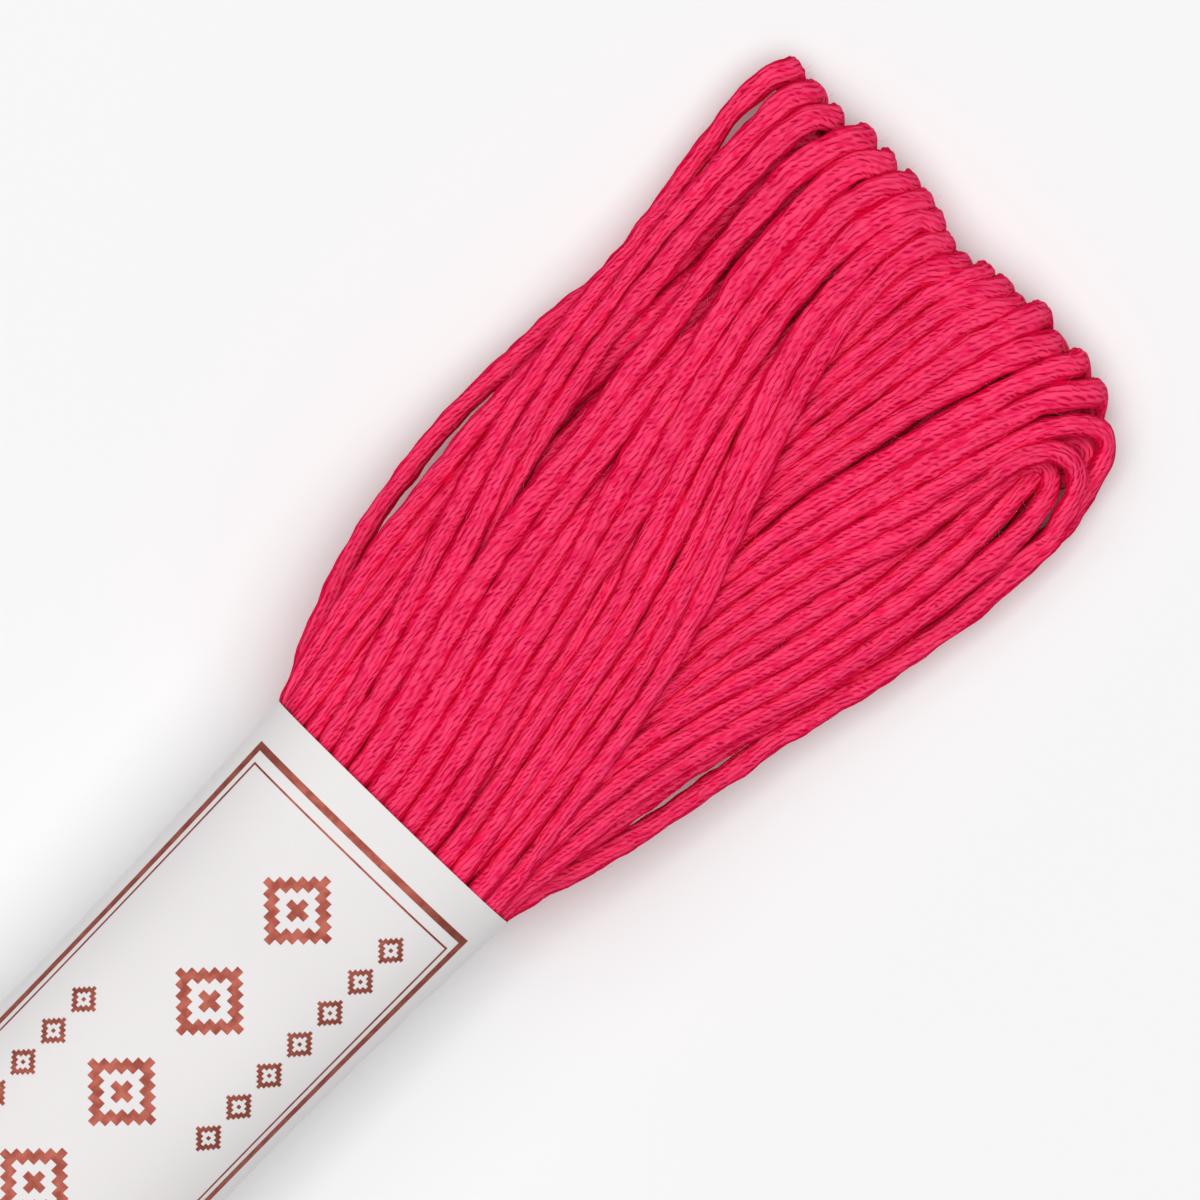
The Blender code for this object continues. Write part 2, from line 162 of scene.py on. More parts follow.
ROUTES = (
    Route("L1", Layer.SECOND, (
        (0, 9.3), (4, 11.3, 0.8), (8, 12.85, 1.4), (12, 13.95, 1.6), (16, 14.4, 1.5), (20, 14.5, 1.3),
        (24, 14.2, 1.1), (28, 13.85, 0.9), (31, 13.4, 0.8), (35, 12.9, 1.4), (46, 12.0, 1.5))),
    Route("Ua", Layer.SECOND, (
        (0, 8.9), (4, 10.1), (8, 11.2), (12, 11.75), (16, 12.25), (20, 12.6), (24, 12.8, 0.3),
        (29, 12.6, 1.4), (46, 10.8, 1.5))),
    Route("Ub", Layer.SECOND, (
        (0, 8.2), (4, 9.6), (8, 10.4), (12, 10.8, 0.1), (16, 11.2, 0.3), (20, 11.5, 1.3),
        (46, 9.4, 1.5))),
    Route("Uc", Layer.SECOND, (
        (0, 7.6), (4, 8.9), (8, 9.3, 0.1), (12, 9.6, 0.4), (16, 9.9, 1.4), (46, 8.0, 1.5))),
    Route("Ud", Layer.SECOND, (
        (0, 7.0), (4, 7.7, 0.1), (8, 8.1, 0.5), (12, 8.3, 1.4), (46, 6.6, 1.5))),
    Route("A1", Layer.TOP, (
        (0, 6.0), (4, 6.7), (8, 7.5), (12, 8.75), (16, 9.95), (20, 10.95), (24, 11.9), (28, 12.4),
        (32, 12.85, 0.2), (36, 13.2, 0.5), (40, 13.65, 0.8), (44, 14.1, 0.9), (48, 14.3, 0.7),
        (50, 14.1, 0.6)), (51.9, 13.5)),
    Route("A2", Layer.TOP, (
        (0, 4.3), (4, 5.35), (8, 6.2), (12, 7.35), (16, 8.2), (20, 9.2), (24, 10.5), (28, 11.3),
        (32, 12.0), (36, 12.4), (40, 12.55), (44, 12.65), (48, 12.5), (50, 12.25)), (51.65, 11.6)),
    Route("A2b", Layer.TOP, (
        (0, 3.6, 2.0), (10, 5.4, 1.5), (18, 7.9, 1.2), (22, 9.2, 0.6), (25, 9.7, 0.1), (28, 10.1),
        (36, 11.1), (44, 11.2), (48, 10.85), (50, 10.3)), (51.4, 9.5)),
    Route("A3", Layer.TOP, (
        (0, 2.8), (4, 3.5), (8, 4.5), (12, 5.6), (16, 6.4), (20, 7.0), (24, 7.2), (28, 7.7), (32, 8.1),
        (36, 8.5), (40, 8.9), (44, 9.15), (46, 9.05), (48, 8.65), (50, 7.95)), (51.75, 7.2)),
    Route("A4", Layer.SECOND, (
        (0, 1.0), (4, 1.9), (8, 2.8), (12, 3.8), (16, 4.6), (20, 5.0), (24, 5.5), (28, 6.1),
        (32, 6.8, 0.2), (36, 7.0, 1.3), (46, 5.4, 1.5))),
    Route("A4b", Layer.SECOND, (
        (0, -0.4, 0.1), (4, 0.4), (8, 1.2), (12, 2.2), (16, 3.0, 0.1), (20, 3.9, 0.4), (24, 4.4, 1.3),
        (46, 4.0, 1.5))),
    Route("A5", Layer.TOP, (
        (0, -1.8), (4, -1.0), (8, -0.15), (14, 1.1), (20, 2.4), (24, 3.4), (28, 4.4), (32, 5.5),
        (36, 6.3), (40, 6.8), (44, 7.0), (46, 6.95), (48, 6.65), (50, 6.0)), (51.5, 5.1)),
    Route("A6", Layer.TOP, (
        (0, -3.3), (4, -2.5), (8, -1.6), (14, -0.45), (20, 0.9), (24, 1.8), (28, 2.7), (32, 3.8),
        (36, 4.5), (40, 5.0), (44, 5.15), (46, 5.05), (48, 4.65), (50, 3.95)), (51.5, 3.2)),
    Route("A7", Layer.TOP, (
        (0, -4.8), (4, -4.0), (8, -3.1), (14, -2.2), (20, -1.4), (24, 0.0), (28, 1.2), (32, 2.2),
        (36, 3.05), (40, 3.6), (44, 3.65), (46, 3.55), (48, 3.15), (50, 2.3)), (51.4, 1.8)),
    Route("A6b", Layer.SECOND, (
        (0, -4.0, 0.6), (4, -3.2, 0.4), (8, -2.4, 0.35), (14, -1.4, 0.35), (20, -0.35, 0.4),
        (24, 0.7, 0.9), (28, 1.7, 1.4), (46, 2.7, 1.5))),
    Route("A8", Layer.SECOND, (
        (0, -6.1), (4, -5.3), (8, -4.5), (14, -3.6), (20, -2.6), (24, -1.3), (28, -0.1), (31, 0.8, 0.3),
        (35, 1.5, 1.3), (46, 1.2, 1.5))),
    Route("A8b", Layer.SECOND, (
        (0, -6.6, 0.6), (4, -5.9, 0.4), (8, -5.3, 0.1), (14, -4.7, 0.05), (20, -3.6, 0.1),
        (24, -2.5, 0.3), (28, -1.1, 0.8), (33, 0.3, 1.4), (46, -0.3, 1.5))),
    Route("A9", Layer.TOP, (
        (0, -7.7), (3, -7.1), (6, -6.8), (10, -6.4), (16, -5.65), (20, -4.75), (24, -3.5), (28, -2.0),
        (32, -0.4), (36, 1.0), (40, 1.85), (44, 2.0), (46, 1.85), (48, 1.5), (50, 0.7)), (50.9, 0.4)),
    Route("A10", Layer.TOP, (
        (0, -8.8), (3, -8.3), (6, -8.0), (12, -7.3), (16, -6.8), (20, -6.0), (24, -4.9), (28, -3.5),
        (32, -2.0), (36, -0.6), (40, 0.4), (44, 0.55), (46, 0.4), (48, 0.0), (49, -0.4)), (50.3, -1.0)),
    Route("B1", Layer.TOP, (
        (0, 0.0, 4.0), (20, -0.5, 2.8), (36, -0.5, 1.3), (40, -0.5, 1.0), (44, -0.95), (48, -1.7)),
        (50.1, -2.6)),
    Route("B2", Layer.TOP, (
        (0, -1.2, 3.6), (24, -1.4, 2.2), (36, -1.3, 1.3), (40, -1.4, 0.2), (44, -2.2), (48, -3.0)),
        (50.6, -4.1)),
    Route("B3", Layer.TOP, (
        (0, -1.8, 4.6), (24, -1.6, 2.4), (34, -1.7, 1.0), (36, -2.05, 0.3), (40, -2.5), (44, -3.4),
        (48, -4.1)), (50.7, -5.5)),
    Route("B4a", Layer.TOP, (
        (0, -2.8, 3.8), (22, -2.4, 2.2), (30, -2.5, 1.2), (34, -3.0, 0.2), (36, -3.3), (40, -3.9),
        (44, -4.8), (48, -5.6)), (50.5, -6.9)),
    Route("B4b", Layer.TOP, (
        (0, -3.4, 4.6), (22, -3.3, 2.2), (29, -3.4, 1.2), (33, -3.9), (36, -4.4), (40, -5.2),
        (44, -6.2), (48, -7.3)), (51.2, -8.4)),
    Route("B5", Layer.TOP, (
        (0, -4.4, 3.2), (20, -3.8, 2.0), (27, -4.0, 1.0), (31, -4.5), (36, -5.7), (40, -6.6),
        (44, -7.8), (48, -9.1)), (50.4, -10.2)),
    Route("B6", Layer.TOP, (
        (0, -4.9, 4.2), (20, -4.5, 1.8), (25, -4.7, 0.8), (28, -5.2), (32, -6.0), (36, -7.2),
        (40, -8.3), (44, -9.5), (48, -10.9)), (50.6, -12.2)),
    Route("B7", Layer.TOP, (
        (0, -5.8, 2.8), (18, -5.3, 1.6), (24, -6.0, 0.6), (28, -6.7), (32, -7.6), (36, -9.0), (40, -10.2),
        (44, -11.3), (47.5, -12.9)), (50.0, -14.3), -1.3),
    Route("B8", Layer.FLAT, (
        (0, -6.4, 1.8), (16, -5.9, 1.6), (20, -6.3, 0.9), (24, -7.1, 0.2), (28, -8.0), (32, -9.2),
        (36, -10.6), (40, -11.8), (44, -12.7))),
    Route("B9", Layer.FLAT, (
        (0, -7.4, 1.5), (14, -7.0, 1.4), (18, -7.4, 0.7), (22, -8.0, 0.1), (26, -8.6), (30, -10.1),
        (34, -11.5), (38, -12.7), (42, -13.4))),
    Route("B10", Layer.FLAT, (
        (0, -7.9, 1.6), (14, -7.7, 1.0), (18, -8.4, 0.2), (22, -9.4), (26, -10.4), (30, -11.6, 0.1),
        (33, -12.4, 0.5), (40, -13.6, 1.4))),
    Route("C2", Layer.FLAT, (
        (0, -8.3, 1.2), (8, -7.9, 1.0), (13, -8.0, 0.2), (16.5, -8.5), (20, -9.9), (24, -11.4),
        (28, -12.5), (31, -13.0), (36, -13.6), (40, -14.3, 0.1), (43, -14.0, 0.8))),
    Route("C3", Layer.FLAT, (
        (0, -8.5, 0.4), (8, -8.6, 0.2), (12, -8.9), (16, -9.8), (20, -11.5), (24, -12.8), (28, -13.9),
        (32, -14.4), (36, -15.1), (40, -15.3, 0.1), (43, -14.9, 0.7))),
    Route("C4", Layer.FLAT, (
        (0, -8.9, 0.3), (8, -9.7), (12, -10.4), (16, -11.4), (20, -12.7), (24, -14.0), (28, -15.3),
        (32, -15.9), (36, -16.8), (40, -17.0, 0.1), (43, -16.2, 0.5))),
    Route("C5", Layer.FLAT, (
        (0, -9.3), (4, -10.85, 1.0), (8, -11.9, 1.3), (12, -13.2, 1.4), (16, -14.0, 1.2),
        (20, -14.8, 0.9), (24, -16.05, 0.6), (28, -17.1, 0.4), (32, -17.7, 0.4), (36, -18.45, 0.4),
        (40, -18.65, 0.6), (42, -18.5, 0.5))),
    Route("C6", Layer.FLAT, (
        (0, -8.9, 1.5), (4, -9.6, 0.8), (8, -10.6, 0.8), (12, -11.6, 1.0), (16, -12.6, 1.0),
        (20, -13.6, 1.0), (24, -14.8, 1.4), (36, -17.0, 1.8), (44, -16.9, 1.6))),
    Route("C7", Layer.FLAT, (
        (0, -8.2, 4.0), (8, -9.9, 3.4), (16, -12.0, 3.0), (24, -14.8, 2.6), (32, -17.0, 2.4),
        (36, -17.9, 2.2), (40, -18.4, 1.8), (44, -18.1, 1.2))),
    Route("C8", Layer.FLAT, (
        (0, -7.0, 4.5), (20, -8.4, 2.6), (36, -12.4, 2.0), (44, -14.3, 2.4))),
)

FLAT_TURNS = (
    FlatTurn("B8", "C7", 43.0, (
        (45.1, -13.4, 4.6), (46.4, -14.3, 4.4), (47.4, -15.3, 4.0), (47.8, -16.3, 3.4),
        (47.3, -17.2, 2.8), (45.9, -17.8, 2.2))),
    FlatTurn("B9", "C5", 40.5, (
        (42.4, -13.4, 5.1), (43.8, -14.1, 5.0), (44.8, -15.0, 4.7), (45.1, -16.1, 4.2),
        (44.6, -17.2, 3.6), (43.4, -17.9, 3.1))),
    FlatTurn("B10", "C4", 40.5, (
        (42.4, -13.9, 2.9), (43.6, -14.7, 2.8), (43.8, -15.6, 2.8), (42.9, -16.4, 2.8))),
    FlatTurn("C2", "C3", 42.0, (
        (43.4, -13.8, 2.3), (44.3, -14.3, 2.1), (43.6, -14.9, 2.2))),
    FlatTurn("C8", "C6", 43.5, (
        (45.1, -14.5, 2.4), (46.2, -15.2, 2.3), (46.5, -16.0, 2.1), (46.1, -16.8, 1.9),
        (45.0, -17.2, 1.7))),
)

OPENINGS = (
    Opening(((10, 12.6), (12, 12.85), (14, 13.1), (17, 13.4), (23, 13.5)), 0.24, True, -1),
    Opening(((9.5, -11.75), (13, -12.4), (17, -13.0)), 0.18, True, 1),
    Opening(((38.5, -16.2), (42, -16.0)), 0.22, True, 1),
    Opening(((39.5, -17.75), (43.5, -17.35)), 0.24, True, 1),
    Opening(((44.5, 13.55), (47, 13.55), (50, 13.25)), 0.2),
    Opening(((34, 9.3), (38, 9.8), (42, 10.15), (47, 10.1)), 0.1, False),
    Opening(((33, 6.7), (36, 7.4), (40, 7.95), (46, 8.0)), 0.12, False),
    Opening(((20, -4.0), (24, -2.6), (28, -1.0), (32, 0.6), (36, 2.0), (40, 2.85), (46, 2.85)), 0.1, False),
    Opening(((27, -4.3), (32, -5.1), (36, -6.45), (40, -7.35), (44, -8.7), (48, -10.1)), 0.13, False),
    Opening(((20, 8.1), (24, 8.6), (28, 8.9), (34, 9.3)), 0.12, False),
)

BAND_SQUARENESS = 2.3
BAND_PINCH = 0.7
BAND_SWELL = 1.0


def band_section(share: float) -> Pair:
    """Half width and height of the band, at a share of the way from its middle.

    Args:
        share: 0 at the middle of the band and 1 or -1 at its mouths.

    Returns:
        The half width, least at the middle, and the height, greatest there.
    """
    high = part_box("paper_band")[1]
    bulge = 1.0 - min(abs(share), 1.0) ** 2
    return high.y / MM - BAND_PINCH * bulge, high.z / MM - BAND_SWELL * (1.0 - bulge)


def band_arch(share: Array) -> Array:
    """Height of the band's unit section at a place between -1 and 1 across it."""
    return (1.0 - np.minimum(np.abs(share), 1.0) ** BAND_SQUARENESS) ** (1.0 / BAND_SQUARENESS)


@dataclass
class CadSurface:
    """Heights of the CAD solids above and below any place, read once on a grid."""

    swing: float = math.radians(1.15)
    across_step: float = 0.25
    reach_step: float = 1.5
    half_span: float = 22.0
    paper_room: float = 0.2
    cord_radius: float = 0.74
    far_spread: float = 46.5
    far_gathered: float = 37.5
    crest_width: int = 6
    mouth_margin: float = 0.4
    band_half: float = field(init=False)
    stations: Array = field(init=False)
    across: Array = field(init=False)
    inside: Array = field(init=False)
    top: Array = field(init=False)
    base: Array = field(init=False)

    def __post_init__(self) -> None:
        """Reads the frame and fills the grids."""
        low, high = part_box("paper_band")
        self.band_half = round((high.x - low.x) / 2 / MM, 1)
        ends = (-self.band_half - self.far_gathered, self.band_half + self.far_spread + 0.1)
        self.stations = np.arange(*ends, self.reach_step)
        self.across = np.arange(-self.half_span, self.half_span + 0.1, self.across_step)
        top, base = self._floss_heights()
        self._use_band_inside(top, base)
        self.inside = ~np.isnan(top)
        self.top, self.base = self._fill(top), self._fill(base)

    def place(self, along: float, across: float) -> Pair:
        """Turns a place on the unswung skein into one on the real skein.

        Args:
            along: Distance along the skein from the middle of the band.
            across: Distance to the left of the middle.

        Returns:
            The place's x and y.
        """
        reach = along - self.band_half
        if reach <= 0:
            return along, across
        cos, sin = math.cos(self.swing), math.sin(self.swing)
        return self.band_half + cos * reach - sin * across, sin * reach + cos * across

    def _floss_heights(self) -> tuple[Array, Array]:
        """Drops lines on the floss solid from above and below, at each grid place.

        Returns:
            The top and the base, not a number where a line misses.
        """
        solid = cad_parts["floss_skein"].data
        tree = BVHTree.FromPolygons(
            [v.co for v in solid.vertices], [tuple(p.vertices) for p in solid.polygons]
        )
        shape = (len(self.stations), len(self.across))
        top, base = np.full(shape, np.nan), np.full(shape, np.nan)
        for i, along in enumerate(self.stations):
            for j, across in enumerate(self.across):
                x, y = self.place(along, across)
                above = tree.ray_cast(Vector((x * MM, y * MM, 0.05)), Vector((0, 0, -1)))[0]
                below = tree.ray_cast(Vector((x * MM, y * MM, -0.05)), Vector((0, 0, 1)))[0]
                if above is not None and below is not None:
                    top[i, j], base[i, j] = above.z / MM, below.z / MM
        return self._over_grooves(top, np.fmax), self._over_grooves(base, np.fmin)

    def _over_grooves(self, grid: Array, pick: Callable) -> Array:
        """Bridges the solid's grooves.

        Args:
            grid: The heights.
            pick: Picks the higher or the lower of two.

        Returns:
            The highest or lowest of nearby heights.
        """
        found = grid.copy()
        for shift in range(-self.crest_width, self.crest_width + 1):
            moved = np.full_like(grid, np.nan)
            source = slice(max(0, -shift), grid.shape[1] - max(0, shift))
            target = slice(max(0, shift), grid.shape[1] - max(0, -shift))
            moved[:, target] = grid[:, source]
            found = np.where(np.isnan(grid), np.nan, pick(found, moved))
        return found

    def _use_band_inside(self, top: Array, base: Array) -> None:
        """Within the band, lets round cords fill it up to the inner face of the paper.

        Args:
            top: Top heights, changed in place.
            base: Base heights, changed in place.
        """
        radius = self.cord_radius
        for i, along in enumerate(self.stations):
            if abs(along) <= self.band_half + self.mouth_margin:
                half, height = band_section(along / self.band_half)
                half -= self.paper_room
                arch = band_arch(self.across / (half - radius))
                room = (height / 2 - self.paper_room - radius) * arch + radius
                inside = np.abs(self.across) < half + self.across_step / 2
                top[i] = np.where(inside, height / 2 + room, np.nan)
                base[i] = np.where(inside, height / 2 - room, np.nan)

    def edges(self) -> tuple[Array, Array]:
        """Finds the sides of the floss.

        Returns:
            Its left and right limits at each station.
        """
        left = np.array([self.across[row].max() for row in self.inside])
        right = np.array([self.across[row].min() for row in self.inside])
        for i, along in enumerate(self.stations):
            if abs(along) <= self.band_half:
                left[i] = band_section(along / self.band_half)[0] - self.paper_room
                right[i] = -left[i]
        return left, right

    def heights(self, across: Array) -> tuple[Array, Array]:
        """Reads the heights where strands lie.

        Args:
            across: Places across for each strand (rows) and station (columns).

        Returns:
            The top and the base there.
        """
        spot = (across + self.half_span) / self.across_step
        low = np.clip(np.floor(spot).astype(int), 0, len(self.across) - 2)
        share = np.clip(spot - low, 0.0, 1.0)
        station = np.arange(len(self.stations))[None, :]

        def read(grid: Array) -> Array:
            """Mixes the two nearest grid values."""
            return grid[station, low] * (1 - share) + grid[station, low + 1] * share

        return read(self.top), read(self.base)

    def _fill(self, grid: Array) -> Array:
        """Gives the places beyond the floss's edges the edge's own height.

        Args:
            grid: The heights, not a number beyond the edges.

        Returns:
            The whole grid.
        """
        whole = grid.copy()
        for row in whole:
            known = np.flatnonzero(~np.isnan(row))
            row[:] = np.interp(np.arange(len(row)), known, row[known])
        return whole


def show(name: str, data: bpy.types.ID) -> Piece:
    """Makes an object and links it to the scene.

    Args:
        name: The object's name.
        data: Its mesh, light or camera.

    Returns:
        The object.
    """
    made = bpy.data.objects.new(name, data)
    bpy.context.scene.collection.objects.link(made)
    return made


def hermite(
    share: Array, span: Array, values: tuple[Array, Array], slopes: tuple[Array, Array]
) -> Array:
    """Reads cubic curves that pass through two values at given slopes.

    Args:
        share: How far along each span.
        span: The spans' lengths.
        values: Values at the start and the end of each span.
        slopes: Slopes there.

    Returns:
        The curves' values.
    """
    square, cube = share**2, share**3
    return (
        (2 * cube - 3 * square + 1) * values[0]
        + (cube - 2 * square + share) * span * slopes[0]
        + (3 * square - 2 * cube) * values[1]
        + (cube - square) * span * slopes[1]
    )


def smooth_curve(points: Array, spacing: Callable[[Array], Array]) -> Array:
    """Runs a smooth curve through points and samples it.

    Args:
        points: The points in order, one a row: three coordinates and any values carried along.
        spacing: Gives the distance wanted between samples at each of a curve's points.

    Returns:
        The samples, with the first and last point kept.
    """
    chord = np.linalg.norm(np.diff(points[:, :3], axis=0), axis=1)
    points = points[np.concatenate([[True], chord > 1e-6])]
    chord = np.linalg.norm(np.diff(points[:, :3], axis=0), axis=1)
    knots = np.concatenate([[0.0], np.cumsum(chord)])
    slopes = np.empty_like(points)
    slopes[1:-1] = (points[2:] - points[:-2]) / (knots[2:] - knots[:-2])[:, None]
    slopes[0] = (points[1] - points[0]) / chord[0]
    slopes[-1] = (points[-1] - points[-2]) / chord[-1]

    def read(places: Array) -> Array:
        """The curve at distances along its chords."""
        at = np.clip(np.searchsorted(knots, places, side="right") - 1, 0, len(chord) - 1)
        span = chord[at][:, None]
        share = ((places - knots[at]) / chord[at])[:, None]
        return hermite(share, span, (points[at], points[at + 1]), (slopes[at], slopes[at + 1]))

    dense = np.linspace(0.0, knots[-1], max(8, int(knots[-1] / CURVE_STEP)))
    count = np.concatenate([[0.0], np.cumsum(np.diff(dense) / spacing(read(dense))[1:])])
    rings = np.linspace(0.0, count[-1], max(4, round(count[-1]) + 1))
    return read(np.interp(rings, count, dense))


@dataclass
class Strand:
    """One strand of the bundle: what is known of it before it settles."""

    name: str
    layer: Layer
    route: Route | None
    mouth: Pair = (0.0, 0.0)
    far: Pair = (0.0, 0.0)
    last: float = math.inf


@dataclass
class StrandField:
    """Lays all the strands side by side along the skein.

    Each strand has a place across and a height at every station. The strands that show are
    held to their routes, and the rest are pushed apart, kept inside the CAD solids and smoothed
    until they lie still.
    """

    surface: CadSurface
    radius: float = 0.74
    packing: float = 1.42
    fill_second: Floats = (-1.8, -3.2, -4.6, -6.0, -7.4, -8.8, -10.2)
    fill_third: int = 17
    third_span: Pair = (11.6, -10.6)
    core_pairs: Floats = (8.0, 3.2, -1.6, -6.4)
    core_half: float = 0.6
    mouth_packing: float = 0.95
    mouth_rows: int = 6
    mouth_columns: int = 8
    mouth_half: float = 9.0
    mouth_middle: float = 5.6
    mouth_slack: float = 0.3
    mouth_stack: int = 6
    levels: float = 3.4
    fanning: float = 0.8
    first_hold: float = 0.25
    hold_ramp: float = 10.0
    hold_depth: float = 1.2
    least_hold: float = 0.12
    rounds: int = 220
    last_rounds: int = 12
    firmness: float = 0.85
    push: float = 0.42
    pull: float = 0.5
    sink: float = 0.012
    stiffness: float = 0.28
    last_stiffness: float = 0.25
    held_softness: float = 0.75
    slit_margin: float = 0.3
    slit_push: float = 0.6
    sunk: float = 0.55
    shown_hold: float = 1.6
    sunk_ramp: float = 6.0
    room_in_band: float = 1.12
    room_at_mouth: float = 0.95
    room_on_fan: float = 0.5
    mouth_blend: float = 1.5
    reach_of_side: float = 2.3
    same_level: float = 0.62
    least_gap: float = 0.4
    slit_reach: Pair = (0.5, 1.5)
    well_held: float = 0.5
    band_margin: float = 0.5
    even_rounds: int = 3
    widths: Pair = (0.6, 1.0)
    heights: Pair = (0.62, 0.8)
    pressing: float = 1.09
    pressing_change: float = 0.05
    pressing_waves: tuple[Triple, ...] = ((19.0, 2.1, 0.0), (11.3, -1.3, 2.0))
    waver: Pair = (0.035, 0.03)
    waver_lengths: Pair = (9.0, 4.6)
    waver_sizes: Pair = (0.4, 1.0)
    swell: float = 0.11
    swell_length: float = 23.0
    swell_ramp: float = 4.0
    random: np.random.Generator = field(init=False)
    reach: Array = field(init=False)
    left: Array = field(init=False)
    right: Array = field(init=False)
    mouth_station: int = field(init=False)
    strands: list[Strand] = field(init=False)
    sides: list[Array] = field(init=False)
    hold: Array = field(init=False)
    aim: Array = field(init=False)
    below: Array = field(init=False)
    across: Array = field(init=False)
    height: Array = field(init=False)
    live: Array = field(init=False)
    half_width: Array = field(init=False)
    half_height: Array = field(init=False)

    def __post_init__(self) -> None:
        """Lists the strands, gives each a first place and lets them settle."""
        self.random = np.random.default_rng(SEED)
        self.reach = self.surface.stations - self.surface.band_half
        self.left, self.right = self.surface.edges()
        self.mouth_station = int(np.argmin(np.abs(self.reach)))
        self.strands = self._list_strands()
        self._choose_mouth_places()
        self._first_places()
        self._choose_sides()
        self._settle()
        self._wander()
        self._fatten()

    def _list_strands(self) -> list[Strand]:
        """Lists the strands with given routes, then the ones that fill the layers beneath.

        Returns:
            The strands.
        """
        found = [Strand(route.name, route.layer, route) for route in ROUTES]
        last = {name: turn.last for turn in FLAT_TURNS for name in (turn.first, turn.second)}
        for strand in found:
            strand.last = last.get(strand.name, math.inf)
        levels = {Layer.BOTTOM: 0.0, Layer.THIRD: 1.0, Layer.CORE: 2.0, Layer.SECOND: 3.0}

        def fill(layer: Layer, across: float, name: str = "") -> None:
            """Adds a strand that finds its own place."""
            found.append(Strand(name, layer, None, far=(across, levels[layer])))

        for route in ROUTES:
            if route.layer is Layer.TOP:
                fill(Layer.BOTTOM, route.tip[1] + route.under, f"under_{route.name}")
        for across in self.fill_second:
            fill(Layer.SECOND, across)
        for across in np.linspace(*self.third_span, self.fill_third):
            fill(Layer.THIRD, across)
        for across in self.core_pairs:
            fill(Layer.CORE, across - self.core_half)
            fill(Layer.CORE, across + self.core_half)
        return found

    def route_at(self, route: Route, reach: Array) -> tuple[Array, Array]:
        """Reads a given route as a smooth curve.

        Args:
            route: The route.
            reach: Where it's read.

        Returns:
            The strand's across and its depth under the crown, at each reach.
        """
        points = route.places()
        if route.tip:
            points.append((route.tip[0] - self.radius, route.tip[1], 0.0))
        points = np.array(points, float)
        slopes = np.gradient(points[:, 1], points[:, 0])
        inside = np.clip(reach, points[0, 0], points[-1, 0])
        at = np.clip(np.searchsorted(points[:, 0], inside, side="right") - 1, 0, len(points) - 2)
        span = points[at + 1, 0] - points[at, 0]
        share = (inside - points[at, 0]) / span
        places = (points[at, 1], points[at + 1, 1])
        across = hermite(share, span, places, (slopes[at], slopes[at + 1]))
        return across, np.interp(inside, points[:, 0], points[:, 2])

    def _choose_mouth_places(self) -> None:
        """Gives each strand its place in the band's mouth: the free ones fill a hexagonal grid."""
        surface, at = self.surface, self.mouth_station

        def limits(across: float) -> Pair:
            """Lowest and highest centre of a strand at a place across the mouth."""
            low = float(np.interp(across, surface.across, surface.base[at])) + self.radius
            high = float(np.interp(across, surface.across, surface.top[at])) - self.radius
            return (low, high) if low < high else ((low + high) / 2,) * 2

        named = []
        for strand in self.strands:
            if strand.route:
                across, below = strand.route.places()[0][1:]
                low, high = limits(across)
                strand.mouth = (across, max(low, high - below))
                named.append(strand.mouth)
        step = self.packing * self.mouth_packing
        spots = []
        for row in range(-self.mouth_rows, self.mouth_rows + 1):
            for column in range(-self.mouth_columns, self.mouth_columns + 1):
                across = (column + 0.5 * (row % 2)) * step
                height = self.mouth_middle + row * step * math.sqrt(3) / 2
                low, high = limits(across)
                near = low - self.mouth_slack < height < high + self.mouth_slack
                if abs(across) < self.mouth_half and near:
                    spots.append((across, min(max(height, low), high)))
        gaps = [min(math.dist(spot, other) for other in named) for spot in spots]
        free = [strand for strand in self.strands if strand.route is None]
        order = np.argsort(gaps)[::-1][: len(free)]
        spots = sorted((spots[i] for i in order), key=lambda spot: spot[0])
        free.sort(key=lambda strand: strand.far[0])
        for start in range(0, len(free), self.mouth_stack):
            stack = slice(start, start + self.mouth_stack)
            group = sorted(free[stack], key=lambda strand: strand.far[1])
            places = sorted(spots[stack], key=lambda spot: spot[1])
            for strand, place in zip(group, places):
                strand.mouth = place

    def _first_places(self) -> None:
        """Sets every strand's first place at every station, and how firmly it's held."""
        count, stations = len(self.strands), len(self.reach)
        shape = (count, stations)
        self.across, self.height = np.zeros(shape), np.zeros(shape)
        self.hold, self.aim, self.below = (np.zeros(shape) for _ in range(3))
        self.live = np.ones(shape, bool)
        middle, half = (self.left + self.right) / 2, (self.left - self.right) / 2
        at = self.mouth_station
        for i, strand in enumerate(self.strands):
            start = (strand.mouth[0] - middle[at]) / half[at]
            low, high = self._limits(np.full(stations, strand.mouth[0])[None, :])
            tall = (strand.mouth[1] - low[0, at]) / max(high[0, at] - low[0, at], 0.1)
            share = np.clip(self.reach / self.reach[-1], 0.0, 1.0) ** self.fanning
            if strand.route is None:
                end = (strand.far[0] - middle[-1]) / half[-1]
                tall_end = strand.far[1] / self.levels
            else:
                end, tall_end = start, tall
            place = start + (end - start) * share
            self.across[i] = middle + half * place
            low, high = self._limits(self.across[i][None, :])
            self.height[i] = low[0] + (high[0] - low[0]) * (tall + (tall_end - tall) * share)
            if strand.route is not None:
                ahead = self.reach >= -0.1
                across, below = self.route_at(strand.route, self.reach)
                self.across[i] = np.where(ahead, across, self.across[i])
                self.aim[i], self.below[i] = across, below
                ramp = np.clip(self.first_hold + self.reach / self.hold_ramp, 0.0, 1.0)
                shown = np.clip(1.0 - below / self.hold_depth, self.least_hold, 1.0)
                self.hold[i] = np.where(ahead, ramp * shown, 0.0)
                high = self._limits(self.across[i][None, :])[1][0]
                self.height[i] = np.where(ahead, high - below, self.height[i])
            if strand.last < math.inf:
                self.live[i] = self.reach <= strand.last

